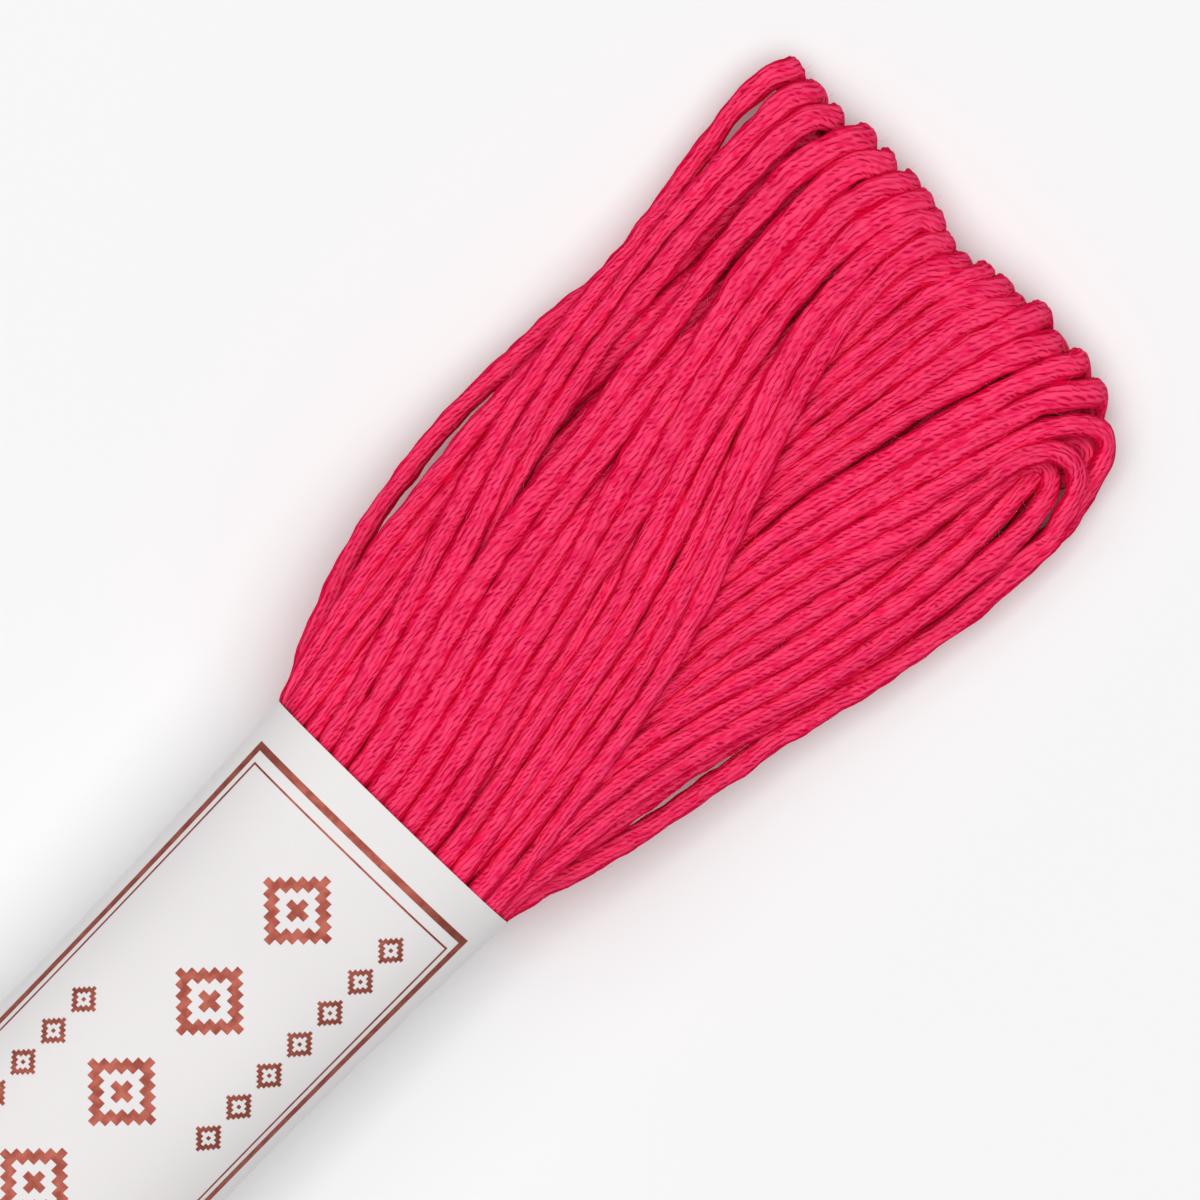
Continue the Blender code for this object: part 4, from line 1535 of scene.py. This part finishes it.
@dataclass(frozen=True)
class PlyPattern:
    """The look of soft twisted cotton, worked out from the cord's own map.

    The map's first value is the distance along the cord in mm, and the second one counts plies.
    Short slim clefts part each ply from the next, one after another like links of a chain. The
    scales are those of a noise along the cord and across its plies.
    """

    rows: float = 12.0 / 11.0
    cord_step: float = 91.0
    row_step: float = 2.37
    sway: float = 1.15
    sway_scales: Pair = (0.7, 0.9)
    link: float = 0.72
    link_step: float = 0.43
    link_wander: float = 4.5
    wander_scales: Pair = (0.45, 1.0)
    tilt: float = 0.5
    slimness: Pair = (0.25, 0.02)
    reach: Pair = (0.5, 0.22)
    end_strength: Pair = (0.45, 1.0)
    chances: Pair = (0.0, 0.7)
    weakest: Pair = (0.35, 1.0)
    swell_scales: Pair = (1.15, 1.1)
    swell_seed: float = 7.7
    swell_span: Pair = (0.2, 0.6)
    ridge_width: float = 0.42
    middle_width: float = 0.35
    middle_least: float = 0.45
    heights: Triple = (0.5, 0.2, 0.35)
    fibre_scales: Pair = (1.3, 4.0)
    fibre_seed: float = 3.1
    patch_scales: Pair = (0.25, 0.2)

    def make(self) -> Tree:
        """Builds the node group.

        Returns:
            The group: Bulge is the height of the surface from 0 to 1, Cleft is 1 in the short clefts,
            which the material paints dark as shade, Grain is 1 on the swells of a ply, where the
            material paints a highlight, Fibre is fine streaks and Patch slow.
        """
        gives = {name: FLOAT for name in ("Bulge", "Cleft", "Grain", "Fibre", "Patch")}
        takes = {"Map": VECTOR, "Tone": FLOAT}
        graph, taken, given = start_group("ply_pattern", "ShaderNodeTree", takes, gives)
        plus, minus, times = graph.plus, graph.minus, graph.times
        along, ply, _ = graph.add("ShaderNodeSeparateXYZ", {0: taken["Map"]}).outputs
        ply = times(ply, self.rows)
        cord = times(taken["Tone"], self.cord_step)

        def read(second: object, scales: Pair, seed: object, detail: float = 1.0) -> object:
            """Reads noise along the cord and along a second value."""
            place = graph.point(times(along, scales[0]), times(second, scales[1]), seed)
            return graph.noise(place, 1.0, detail)

        swayed = plus(ply, times(minus(read(ply, self.sway_scales, cord), 0.5), self.sway))
        border = graph.math("ROUND", swayed)
        aside = minus(swayed, border)
        row = plus(cord, times(border, self.row_step))
        wander = times(read(row, self.wander_scales, cord, 1.5), self.link_wander)
        links = plus(graph.math("DIVIDE", along, self.link), wander)
        links = plus(links, times(border, self.link_step))
        phase = minus(graph.math("FRACT", links), 0.5)
        line = minus(aside, times(phase, self.tilt))
        near = graph.ramp(graph.math("ABSOLUTE", line), self.slimness)
        gate = graph.ramp(graph.math("ABSOLUTE", phase), self.reach, self.end_strength)
        lot = {"Vector": graph.point(graph.math("FLOOR", links), row, 0.5)}
        chance = graph.add("ShaderNodeTexWhiteNoise", lot, noise_dimensions="3D").outputs["Value"]
        shaded_cleft = times(times(near, gate), graph.ramp(chance, self.chances, self.weakest))
        swell = read(swayed, self.swell_scales, plus(cord, self.swell_seed))
        distance = graph.math("ABSOLUTE", aside)
        ridge = graph.ramp(distance, (0.0, self.ridge_width))
        middle = graph.ramp(distance, (0.0, self.middle_width), (self.middle_least, 1.0))
        raised, edged, sunk = map(times, (swell, ridge, shaded_cleft), self.heights)
        bulge = minus(plus(raised, edged), sunk)
        graph.feed(given, {
            "Bulge": bulge,
            "Cleft": shaded_cleft,
            "Grain": times(graph.ramp(swell, self.swell_span), middle),
            "Fibre": read(swayed, self.fibre_scales, plus(cord, self.fibre_seed), 3.0),
            "Patch": read(ply, self.patch_scales, cord),
        })
        return graph.tree


@dataclass(frozen=True)
class FlossFinish:
    """Soft matt cotton, with painted shade and a painted highlight. Relief is in metres.

    The clefts between plies and the flanks where cords meet are painted a deeper, more saturated
    red as shade, and the swells of the plies away from the flanks a lighter pink as highlight.
    """

    # Painted highlight: the lighter pink given to the swells of the plies.
    painted_highlight: Colour = (1.0, 0.062, 0.172, 1.0)
    body: Colour = (0.86, 0.010, 0.088, 1.0)
    # Painted shade: the darker red mixed into the clefts between plies.
    shaded_cleft: Colour = (0.48, 0.000, 0.036, 1.0)
    # Painted shade: the deeper red mixed onto the flanks where cords meet their neighbours.
    flank: Colour = (0.74, 0.000, 0.044, 1.0)
    shaded_cleft_share: float = 0.92
    bulge_middle: float = 0.35
    bulge_on_edge: float = 0.5
    fibre_span: Pair = (0.25, 0.65)
    fibre_light: Pair = (0.6, 1.0)
    rim_span: Pair = (0.55, 0.95)
    rim_light: Pair = (1.0, 0.1)
    shaded_flank_span: Pair = (0.68, 0.9)
    patch_span: Pair = (0.3, 0.6)
    shaded_flank_share: Pair = (0.4, 0.88)
    fibre_height: float = 0.3
    darkest: float = 0.86
    patch_change: float = 0.16
    tone_change: float = 0.06
    roughness: float = 0.85
    sheen: float = 0.03
    sheen_roughness: float = 0.5
    sheen_tint: Colour = (1.0, 0.2, 0.35, 1.0)
    specular: float = 0.02
    relief: float = 0.00007

    def make(self) -> Material:
        """Builds the material.

        Returns:
            The material.
        """
        material, graph, surface = start_material("floss_red")
        plus, minus, times = graph.plus, graph.minus, graph.times
        place = graph.add("ShaderNodeUVMap", uv_map=CORD_MAP).outputs[0]
        tone, flank = (
            graph.add("ShaderNodeAttribute", attribute_name=name).outputs["Fac"] for name in (TONE, SHADED_FLANK)
        )
        inputs = {"Map": place, "Tone": tone}
        ply = graph.add("ShaderNodeGroup", inputs, node_tree=PlyPattern().make())
        bulge, shaded_cleft, ply_highlight, fibre, patch = ply.outputs
        # How far towards a cord's flank each place lies, used to fade the painted highlight and paint shade
        # there.
        edge = minus(flank, times(minus(bulge, self.bulge_middle), self.bulge_on_edge))
        # Painted highlight: the swells of the plies, away from the cord's flanks, are mixed towards a
        # lighter pink.
        lit = times(ply_highlight, graph.ramp(fibre, self.fibre_span, self.fibre_light))
        lit = times(lit, graph.ramp(edge, self.rim_span, self.rim_light))
        base = graph.blend(lit, self.body, self.painted_highlight)
        # Painted shade: the flanks, where cords meet their neighbours, are mixed towards a deeper red, more
        # in some patches.
        deep = graph.ramp(patch, self.patch_span, self.shaded_flank_share)
        base = graph.blend(times(graph.ramp(edge, self.shaded_flank_span), deep), base, self.flank)
        # Painted shade: the clefts between plies are mixed towards a darker red.
        base = graph.blend(times(shaded_cleft, self.shaded_cleft_share), base, self.shaded_cleft)
        change = plus(times(patch, self.patch_change), times(tone, self.tone_change))
        height = plus(times(fibre, self.fibre_height), bulge)
        graph.feed(surface, {
            "Base Color": graph.shade(base, plus(change, self.darkest)),
            "Normal": graph.bump(height, self.relief, 1.0),
            "Roughness": self.roughness,
            "Sheen Weight": self.sheen,
            "Sheen Roughness": self.sheen_roughness,
            "Sheen Tint": self.sheen_tint,
            "Specular IOR Level": self.specular,
        })
        return material


@dataclass(frozen=True)
class PlainFinish:
    """One even colour without gloss."""

    name: str
    colour: Colour
    roughness: float
    specular: float

    def make(self) -> Material:
        """Builds the material.

        Returns:
            The material.
        """
        material, graph, surface = start_material(self.name)
        graph.feed(surface, {
            "Base Color": self.colour,
            "Roughness": self.roughness,
            "Specular IOR Level": self.specular,
        })
        return material


LOOSE_FIBRE = PlainFinish("cotton_fuzz", (1.0, 0.15, 0.28, 1.0), 0.9, 0.05)
PALE_GROUND = PlainFinish("ground", (0.86, 0.86, 0.865, 1.0), 0.7, 0.2)


@dataclass(frozen=True)
class PaperFinish:
    """Coated white paper, a little uneven, with a soft sheen. Relief is in metres."""

    colour: Colour = (0.765, 0.735, 0.738, 1.0)
    roughness: float = 0.42
    cloud_scale: float = 90.0
    fine_scale: float = 2600.0
    darkest: float = 0.975
    relief: float = 0.00003

    def make(self) -> Material:
        """Builds the material.

        Returns:
            The material.
        """
        material, graph, surface = start_material("coated_paper")
        place = graph.add("ShaderNodeTexCoord").outputs["Object"]
        cloud = graph.noise(place, self.cloud_scale, 3.0)
        fine = graph.noise(place, self.fine_scale, 2.0)
        height = graph.plus(graph.times(cloud, 6.0), graph.times(fine, 0.25))
        rough = (self.roughness - 0.04, self.roughness + 0.05)
        graph.feed(surface, {
            "Base Color": graph.shade(self.colour, graph.ramp(cloud, (0.3, 0.7), (self.darkest, 1.0))),
            "Normal": graph.bump(height, self.relief, 0.6),
            "Roughness": graph.ramp(fine, (0.3, 0.7), rough),
            "Specular IOR Level": 0.35,
        })
        return material


@dataclass(frozen=True)
class FoilFinish:
    """Copper foil printed on the paper, a little mottled. Relief is in metres."""

    bright: Colour = (0.36, 0.100, 0.072, 1.0)
    dull: Colour = (0.27, 0.062, 0.044, 1.0)
    roughness: float = 0.46
    metallic: float = 0.55
    mottle_scale: float = 1500.0
    relief: float = 0.00001

    def make(self) -> Material:
        """Builds the material.

        Returns:
            The material.
        """
        material, graph, surface = start_material("copper_foil")
        place = graph.add("ShaderNodeTexCoord").outputs["Object"]
        mottle = graph.noise(place, self.mottle_scale, 3.0)
        rough = (self.roughness + 0.08, self.roughness - 0.05)
        graph.feed(surface, {
            "Base Color": graph.blend(graph.ramp(mottle, (0.3, 0.7)), self.dull, self.bright),
            "Normal": graph.bump(mottle, self.relief, 0.6),
            "Roughness": graph.ramp(mottle, (0.3, 0.7), rough),
            "Metallic": self.metallic,
            "Specular IOR Level": 0.1,
        })
        return material


def mesh_piece(name: str, verts: Array, faces: list[tuple[int, ...]]) -> Piece:
    """Makes an object from points and faces.

    Args:
        name: The object's name.
        verts: Points in metres, one a row.
        faces: Vertex numbers of each face.

    Returns:
        The object, linked to the scene.
    """
    mesh = bpy.data.meshes.new(name)
    mesh.from_pydata([tuple(map(float, v)) for v in verts], [], faces)
    mesh.update()
    return show(name, mesh)


def soften(piece: Piece) -> Piece:
    """Shades a piece smoothly, save at its sharp edges."""
    piece.data.shade_smooth()
    piece.data.set_sharp_from_angle(angle=SHARP_ANGLE)
    return piece


def shell_faces(rows: int, columns: int, first: int = 0) -> list[tuple[int, ...]]:
    """Faces of a closed thin shell whose outer grid of points comes before its inner one.

    Args:
        rows: Points along.
        columns: Points across, turning left from along when seen from outside.
        first: Number of the first point.

    Returns:
        The faces.
    """
    inner = rows * columns

    def at(row: int, column: int, level: int) -> int:
        """Number of one grid point."""
        return first + level * inner + row * columns + column

    faces = []
    for i in range(rows - 1):
        for j in range(columns - 1):
            square = [(i, j), (i + 1, j), (i + 1, j + 1), (i, j + 1)]
            faces.append(tuple(at(*spot, 0) for spot in square))
            faces.append(tuple(at(*spot, 1) for spot in reversed(square)))
    rim = [(i, 0) for i in range(rows)] + [(rows - 1, j) for j in range(1, columns)]
    rim += [(i, columns - 1) for i in range(rows - 2, -1, -1)]
    rim += [(0, j) for j in range(columns - 2, 0, -1)]
    for here, there in zip(rim, rim[1:] + rim[:1]):
        faces.append((at(*here, 0), at(*here, 1), at(*there, 1), at(*there, 0)))
    return faces


def run_nodes(piece: Piece, group: Tree, values: dict[str, object]) -> None:
    """Runs a Geometry Nodes group on a piece and keeps the result as plain mesh.

    Args:
        piece: The piece, whose mesh is replaced.
        group: The group.
        values: Its inputs, by name.
    """
    modifier = piece.modifiers.new(group.name, "NODES")
    modifier.node_group = group
    for item in group.interface.items_tree:
        if item.item_type == "SOCKET" and item.in_out == "INPUT" and item.name in values:
            modifier[item.identifier] = values[item.name]
    view = bpy.context.evaluated_depsgraph_get()
    made = bpy.data.meshes.new_from_object(piece.evaluated_get(view), depsgraph=view)
    piece.modifiers.clear()
    old, piece.data = piece.data, made
    made.name = piece.name
    bpy.data.meshes.remove(old)


@dataclass(frozen=True)
class Fuzz:
    """Loose fibre ends all over the floss, sizes in mm."""

    band_half: float
    density: float = 0.4
    thickness: float = 0.011
    length: float = 0.6
    lowest: float = 1.5
    clear_of_band: float = 0.7
    least_facing: float = -0.3
    lean: Triple = (0.9, 0.9, 0.7)
    scales: Pair = (0.4, 1.3)
    knee: float = 0.6
    tip: Pair = (0.7, 0.75)

    def build(self, cords: Piece, material: Material) -> Piece:
        """Makes the fuzz of one piece of floss.

        Args:
            cords: The piece of floss.
            material: The fuzz's material.

        Returns:
            The fuzz, as a piece of its own.
        """
        piece = show(cords.name.replace("floss", "fuzz"), cords.data.copy())
        values = {
            "Density": self.density / MM**2,
            "Thickness": self.thickness * MM,
            "Length": self.length * MM,
            "Lowest": self.lowest * MM,
            "Clear": (self.band_half + self.clear_of_band) * MM,
            "Seed": SEED,
            "Material": material,
        }
        run_nodes(piece, self._nodes(), values)
        return piece

    def _nodes(self) -> Tree:
        """Stands a curved fibre end at places scattered over a mesh.

        Returns:
            The Geometry Nodes that do it.
        """
        takes = {"Geometry": GEOMETRY, "Density": FLOAT, "Thickness": FLOAT, "Length": FLOAT}
        takes |= {"Lowest": FLOAT, "Clear": FLOAT, "Seed": "NodeSocketInt", "Material": MATERIAL}
        graph, taken, given = start_group("fuzz", "GeometryNodeTree", takes, {"Geometry": GEOMETRY})
        place, facing = (
            graph.add("ShaderNodeSeparateXYZ", {0: graph.add(kind).outputs[0]}).outputs
            for kind in ("GeometryNodeInputPosition", "GeometryNodeInputNormal")
        )
        high = graph.math("GREATER_THAN", place[2], taken["Lowest"])
        clear = graph.math("GREATER_THAN", graph.math("ABSOLUTE", place[0]), taken["Clear"])
        upward = graph.math("GREATER_THAN", facing[2], self.least_facing)
        spread = {
            0: taken["Geometry"],
            "Selection": graph.times(graph.times(high, clear), upward),
            "Density": taken["Density"],
            "Seed": taken["Seed"],
        }
        spots = graph.add("GeometryNodeDistributePointsOnFaces", spread).outputs
        leans = {0: tuple(-part for part in self.lean), 1: self.lean}
        lean = graph.add("FunctionNodeRandomValue", leans, data_type="FLOAT_VECTOR").outputs[0]
        away = graph.add("ShaderNodeVectorMath", {0: spots["Normal"], 1: lean}, operation="ADD")
        scales = {2: self.scales[0], 3: self.scales[1]}
        size = graph.add("FunctionNodeRandomValue", scales, data_type="FLOAT").outputs[1]
        fibre = self._fibre(graph, taken)
        hairs = graph.stand(spots["Points"], fibre, away.outputs[0], size, taken["Material"])
        graph.feed(given, {"Geometry": hairs})
        return graph.tree

    def _fibre(self, graph: Graph, taken: bpy.types.bpy_prop_collection) -> Socket:
        """Makes one curved fibre end, rising from the origin and bending over.

        Args:
            graph: The graph it's made in.
            taken: The group's inputs.

        Returns:
            The fibre's mesh.
        """
        length = taken["Length"]
        over, up = (graph.times(length, share) for share in self.tip)
        bend = {
            "Resolution": 4,
            "Start": (0.0, 0.0, 0.0),
            "Middle": graph.point(z=graph.times(length, self.knee)),
            "End": graph.point(over, z=up),
        }
        line = graph.add("GeometryNodeCurveQuadraticBezier", bend).outputs[0]
        circle = {"Resolution": 3, "Radius": graph.times(taken["Thickness"], 0.5)}
        ring = graph.add("GeometryNodeCurvePrimitiveCircle", circle).outputs[0]
        solid = {"Curve": line, "Profile Curve": ring, "Fill Caps": True}
        return graph.add("GeometryNodeCurveToMesh", solid).outputs[0]


@dataclass
class PaperBand:
    """The strip of paper round the waist, glued to itself underneath."""

    thickness: float = 0.14
    overlap: float = 6.0
    lift_end: float = 0.02
    step: float = 1.0
    fine_step: float = 0.25
    section_points: int = 241
    waviness: float = 0.035
    wave_rates: Pair = (0.45, 0.11)
    wave_fade: int = 4
    tuck: float = 2.0
    half_length: float = field(init=False)
    girth: float = field(init=False)

    def __post_init__(self) -> None:
        """Reads the band's size from the frame."""
        low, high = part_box("paper_band")
        self.half_length = (high.x - low.x) / 2 / MM
        self.girth = float(self._outline(self.half_length)[0][-1] * 2)

    def _outline(self, along: float) -> tuple[Array, Array, Array]:
        """Works out half the section of the band, from the crown down the left side.

        Args:
            along: Distance along the skein from the middle of the band.

        Returns:
            Distance round from the crown, across and height of its points.
        """
        half, height = band_section(along / self.half_length)
        turned = np.linspace(math.pi / 2, -math.pi / 2, self.section_points)
        power = 2 / BAND_SQUARENESS
        across = half * np.abs(np.cos(turned)) ** power
        up = np.sign(np.sin(turned)) * np.abs(np.sin(turned)) ** power
        z = height / 2 * (1 + up)
        steps = np.hypot(np.diff(across), np.diff(z))
        return np.concatenate([[0.0], np.cumsum(steps)]), across, z

    def around_at(self, along: float, across: float) -> float:
        """Turns a distance across into one round the paper, on its upper side.

        Args:
            along: Distance along the skein from the middle of the band.
            across: Distance to the left of the middle.

        Returns:
            Distance round from the crown.
        """
        around, places, z = self._outline(along)
        upper = z > z[0] / 2
        return math.copysign(float(np.interp(abs(across), places[upper], around[upper])), across)

    def point(self, along: float, around: Array, lift: Array) -> Array:
        """Points on the paper's outer face or off it.

        Args:
            along: Distance along the skein from the middle of the band.
            around: Distances round from the crown, positive to the left.
            lift: How far the points lie outside the face.

        Returns:
            The points in metres, one a row.
        """
        path, across, z = self._outline(along)
        whole = path[-1]
        wave = self.waviness * np.sin(around * self.wave_rates[0] + along * self.wave_rates[1])
        lift = lift + wave * (abs(along) / self.half_length) ** self.wave_fade
        past = np.abs(around) > whole
        inner = np.where(past, 2 * whole - np.abs(around), np.abs(around))
        side = np.sign(around) * np.where(past, -1.0, 1.0)
        side = np.where(side == 0, 1.0, side)
        y, height = np.interp(inner, path, across), np.interp(inner, path, z)
        rising = path + 1e-9 * np.arange(len(path))
        slope_y = np.interp(inner, path, np.gradient(across, rising))
        slope_z = np.interp(inner, path, np.gradient(z, rising))
        out_y, out_z = -slope_z * side, slope_y
        length = np.hypot(out_y, out_z)
        place = y * side + lift * out_y / length
        return np.stack([np.full_like(y, along), place, height + lift * out_z / length], axis=1) * MM

    def build(self) -> Piece:
        """Makes the paper as one closed sheet.

        Returns:
            The piece.
        """
        half = self.girth / 2
        reach = half + self.overlap / 2
        around = np.linspace(-reach, reach, 2 * round(reach / self.fine_step) + 1)
        tucked = np.clip((-around - (half - self.overlap / 2 - self.tuck)) / self.tuck, 0.0, 1.0)
        lift = -(self.thickness + self.lift_end) * tucked
        count = round(2 * self.half_length / self.step) + 1
        stations = np.linspace(-self.half_length, self.half_length, count)
        outer, inner = [], []
        for along in stations:
            outer.append(self.point(along, around, lift))
            inner.append(self.point(along, around, lift - self.thickness))
        verts = np.concatenate([*outer, *inner])
        verts[:, 2] = np.maximum(verts[:, 2], 0.0)
        return soften(mesh_piece("band_sheet", verts, shell_faces(len(stations), len(around))))

    def patch(self, low: Pair, high: Pair, lift: float) -> tuple[Array, int, int]:
        """Grid points of a printed patch that follows the paper.

        Args:
            low: Least along and around.
            high: Greatest along and around.
            lift: Height of the print's face over the paper's.

        Returns:
            Outer then inner points, and the counts along and around.
        """
        rows = max(2, round((high[0] - low[0]) / self.step) + 1)
        columns = max(3, round((high[1] - low[1]) / self.fine_step) + 1)
        around = np.linspace(low[1], high[1], columns)
        stations = np.linspace(low[0], high[0], rows)
        outer = [self.point(along, around, np.full(columns, lift)) for along in stations]
        inner = [self.point(along, around, np.full(columns, -lift)) for along in stations]
        return np.concatenate([*outer, *inner]), rows, columns


@dataclass
class BandPrint:
    """The copper print: two rules round the panel, a column of stitched lozenges and small marks."""

    band: PaperBand
    lift: float = 0.02
    outer_inset: float = 2.7
    outer_across: float = 8.85
    outer_width: float = 0.48
    inner_inset: float = 3.72
    inner_across: float = 8.35
    inner_width: float = 0.13
    stitch: float = 0.5
    fine_stitch: float = 0.235
    lozenge_reach: int = 5
    mark_reach: int = 4
    outline: int = 1
    heart: int = 4
    lozenge_places: Floats = (17.2, 9.4, 1.6, -6.2, -14.0)
    mark_columns: tuple[tuple[float, float, int], ...] = ((-6.0, 19.4, 7), (5.8, 4.0, 4))
    mark_pitch: float = 2.7

    def build_rules(self) -> Piece:
        """Makes the frame of two rules.

        Returns:
            The piece.
        """
        verts, faces, count = [], [], 0
        for inset, across, width in (
            (self.outer_inset, self.outer_across, self.outer_width),
            (self.inner_inset, self.inner_across, self.inner_width),
        ):
            end = self.band.half_length - inset
            side = self.band.around_at(self.band.half_length, across)
            half = width / 2
            boxes = [
                ((-end - half, side - half), (end + half, side + half)),
                ((-end - half, -side - half), (end + half, -side + half)),
                ((end - half, -side + half), (end + half, side - half)),
                ((-end - half, -side + half), (-end + half, side - half)),
            ]
            for low, high in boxes:
                points, rows, columns = self.band.patch(low, high, self.lift)
                faces += shell_faces(rows, columns, count)
                verts.append(points)
                count += len(points)
        return soften(mesh_piece("band_rules", np.concatenate(verts), faces))

    def build_motifs(self, foil: Material) -> Piece:
        """Makes the lozenges and marks out of small stitches.

        Args:
            foil: The print's material.

        Returns:
            The piece.
        """
        spots = []
        for place in self.lozenge_places:
            spots += self._lozenge(place, 0.0, self.lozenge_reach, self.stitch)
        for across, start, count in self.mark_columns:
            for i in range(count):
                place = start - i * self.mark_pitch
                spots += self._lozenge(place, across, self.mark_reach, self.fine_stitch)
        points, ups, sizes = [], [], []
        for along, around, size in spots:
            face = self.band.point(along, np.array([around]), np.zeros(1))[0]
            above = self.band.point(along, np.array([around]), np.ones(1))[0]
            points.append(face)
            ups.append((above - face) / MM)
            sizes.append(size * MM)
        piece = mesh_piece("band_motifs", np.array(points), [])
        up = piece.data.attributes.new("up", "FLOAT_VECTOR", "POINT")
        up.data.foreach_set("vector", np.array(ups, np.float32).ravel())
        size = piece.data.attributes.new("size", "FLOAT", "POINT")
        size.data.foreach_set("value", np.array(sizes, np.float32))
        values = {"Thickness": 2 * self.lift * MM, "Material": foil}
        run_nodes(piece, self._stitch_nodes(), values)
        return piece

    def _lozenge(self, along: float, around: float, reach: int, size: float) -> list[Triple]:
        """Counts out the stitches of one lozenge: a thick outline round a small heart.

        Args:
            along: Its middle's distance along the skein.
            around: Its middle's distance round from the crown.
            reach: How many stitches its corners lie from its middle.
            size: Size of a stitch.

        Returns:
            Along, around and size of each stitch.
        """
        cells = []
        for i in range(-reach, reach + 1):
            for j in range(-reach, reach + 1):
                ring = abs(i) + abs(j)
                if reach - self.outline <= ring <= reach or ring <= reach - self.heart:
                    cells.append((along + i * size, around + j * size, size))
        return cells

    def _stitch_nodes(self) -> Tree:
        """Sets one small square stitch on each point.

        Returns:
            The Geometry Nodes that do it.
        """
        takes = {"Geometry": GEOMETRY, "Thickness": FLOAT, "Material": MATERIAL}
        graph, taken, given = start_group("stitches", "GeometryNodeTree", takes, {"Geometry": GEOMETRY})
        cube = graph.add("GeometryNodeMeshCube", {"Size": (1.0, 1.0, 1.0)}).outputs[0]
        side, up = (
            graph.add("GeometryNodeInputNamedAttribute", {"Name": name}, data_type=kind).outputs[0]
            for name, kind in (("size", "FLOAT"), ("up", "FLOAT_VECTOR"))
        )
        size = graph.point(side, side, taken["Thickness"])
        graph.feed(given, {"Geometry": graph.stand(taken["Geometry"], cube, up, size, taken["Material"])})
        return graph.tree


@dataclass
class Studio:
    """The floor and the soft lights, with lengths in metres, and the camera."""

    focus: Triple = (44.07, -0.06, 7.0)
    heading: float = -45.88
    distance: float = 550.0
    frame_width: float = 75.0
    floor_size: float = 1.6
    floor_shift: Triple = (0.02, 0.0, -0.00005)
    sensor: float = 36.0
    key: Triple = (4.5, 36.0, 0.9)
    fill: Triple = (22.0, -5.0, 1.8)
    light_distance: float = 1.4
    sky: Colour = (0.96, 0.965, 0.97, 1.0)
    sky_strength: float = 0.19

    def build(self) -> None:
        """Makes the floor, lights, world and camera, and keeps colours as they are."""
        bpy.context.scene.view_settings.view_transform = "Standard"
        self._floor()
        self._sky()
        self._soft_box("key", *self.key)
        self._soft_box("fill", *self.fill)
        self._camera()

    def _floor(self) -> None:
        """A plain pale ground."""
        half = self.floor_size / 2
        corners = np.array([(-half, -half, 0), (half, -half, 0), (half, half, 0), (-half, half, 0)])
        corners += self.floor_shift
        floor = mesh_piece("floor", corners, [(0, 1, 2, 3)])
        floor.data.materials.append(PALE_GROUND.make())

    def _sky(self) -> None:
        """An even pale surround."""
        world = bpy.data.worlds.new("surround")
        bpy.context.scene.world = world
        world.use_nodes = True
        background = world.node_tree.nodes["Background"]
        background.inputs[0].default_value = self.sky
        background.inputs[1].default_value = self.sky_strength

    def _soft_box(self, name: str, power: float, lean: float, size: float) -> None:
        """Adds a square soft box over the floss.

        Args:
            name: The light's name.
            power: Its power, in watts.
            lean: How far it leans to the skein's left, in degrees.
            size: Its side, in metres.
        """
        lamp = bpy.data.lights.new(name, "AREA")
        lamp.shape = "SQUARE"
        lamp.size = size
        lamp.energy = power
        box = show(name, lamp)
        turn = math.radians(lean)
        aim = Vector(self.focus) * MM
        box.location = aim + Vector((0.0, math.sin(turn), math.cos(turn))) * self.light_distance
        box.rotation_euler = (-turn, 0.0, 0.0)

    def _camera(self) -> None:
        """A long lens straight above the spread fan."""
        lens = bpy.data.cameras.new("camera")
        lens.sensor_width = self.sensor
        lens.lens = self.sensor * self.distance / self.frame_width
        camera = show("camera", lens)
        camera.location = Vector(self.focus) * MM + Vector((0, 0, self.distance * MM))
        camera.rotation_euler = (0.0, 0.0, math.radians(self.heading))
        bpy.context.scene.camera = camera


def main() -> None:
    """Builds and dresses every piece, parents it to the root, and sets up the studio."""
    logging.basicConfig(level=logging.INFO, format="%(name)s: %(message)s")
    surface = CadSurface()
    LOG.info("surface read, %d stations", len(surface.stations))
    strands = StrandField(surface)
    LOG.info("%d strands settled", len(strands.strands))
    maker = LoopMaker(surface, strands)
    groups: dict[str, list[Loop]] = {}
    for loop in maker.spread_loops() + maker.gathered_loops():
        groups.setdefault(loop.group, []).append(loop)
    cords = CordMaker(surface)
    red = FlossFinish().make()
    pieces = []
    for name, loops in groups.items():
        piece = cords.build(f"floss_{name}", loops)
        piece.data.materials.append(red)
        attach(piece, "root")
        pieces.append(piece)
        LOG.info("%s: %d loops, %d faces", piece.name, len(loops), len(piece.data.polygons))
    for piece in pieces:
        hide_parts("floss_skein")
    fuzz = Fuzz(surface.band_half)
    loose = LOOSE_FIBRE.make()
    for piece in [p for p in pieces if p.name != "floss_hidden"]:
        hairs = fuzz.build(piece, loose)
        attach(hairs, "root")
        pieces.append(hairs)
        LOG.info("%s: %d faces", hairs.name, len(hairs.data.polygons))
    band = PaperBand()
    paper = band.build()
    paper.data.materials.append(PaperFinish().make())
    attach(paper, "root")
    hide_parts("paper_band")
    foil = FoilFinish().make()
    printed = BandPrint(band)
    rules = printed.build_rules()
    rules.data.materials.append(foil)
    motifs = printed.build_motifs(foil)
    for piece in (rules, motifs):
        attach(piece, "root")
    pieces += [paper, rules, motifs]
    for piece in (paper, rules, motifs):
        LOG.info("%s: %d faces", piece.name, len(piece.data.polygons))
    Studio().build()


if __name__ == "__main__":
    main()
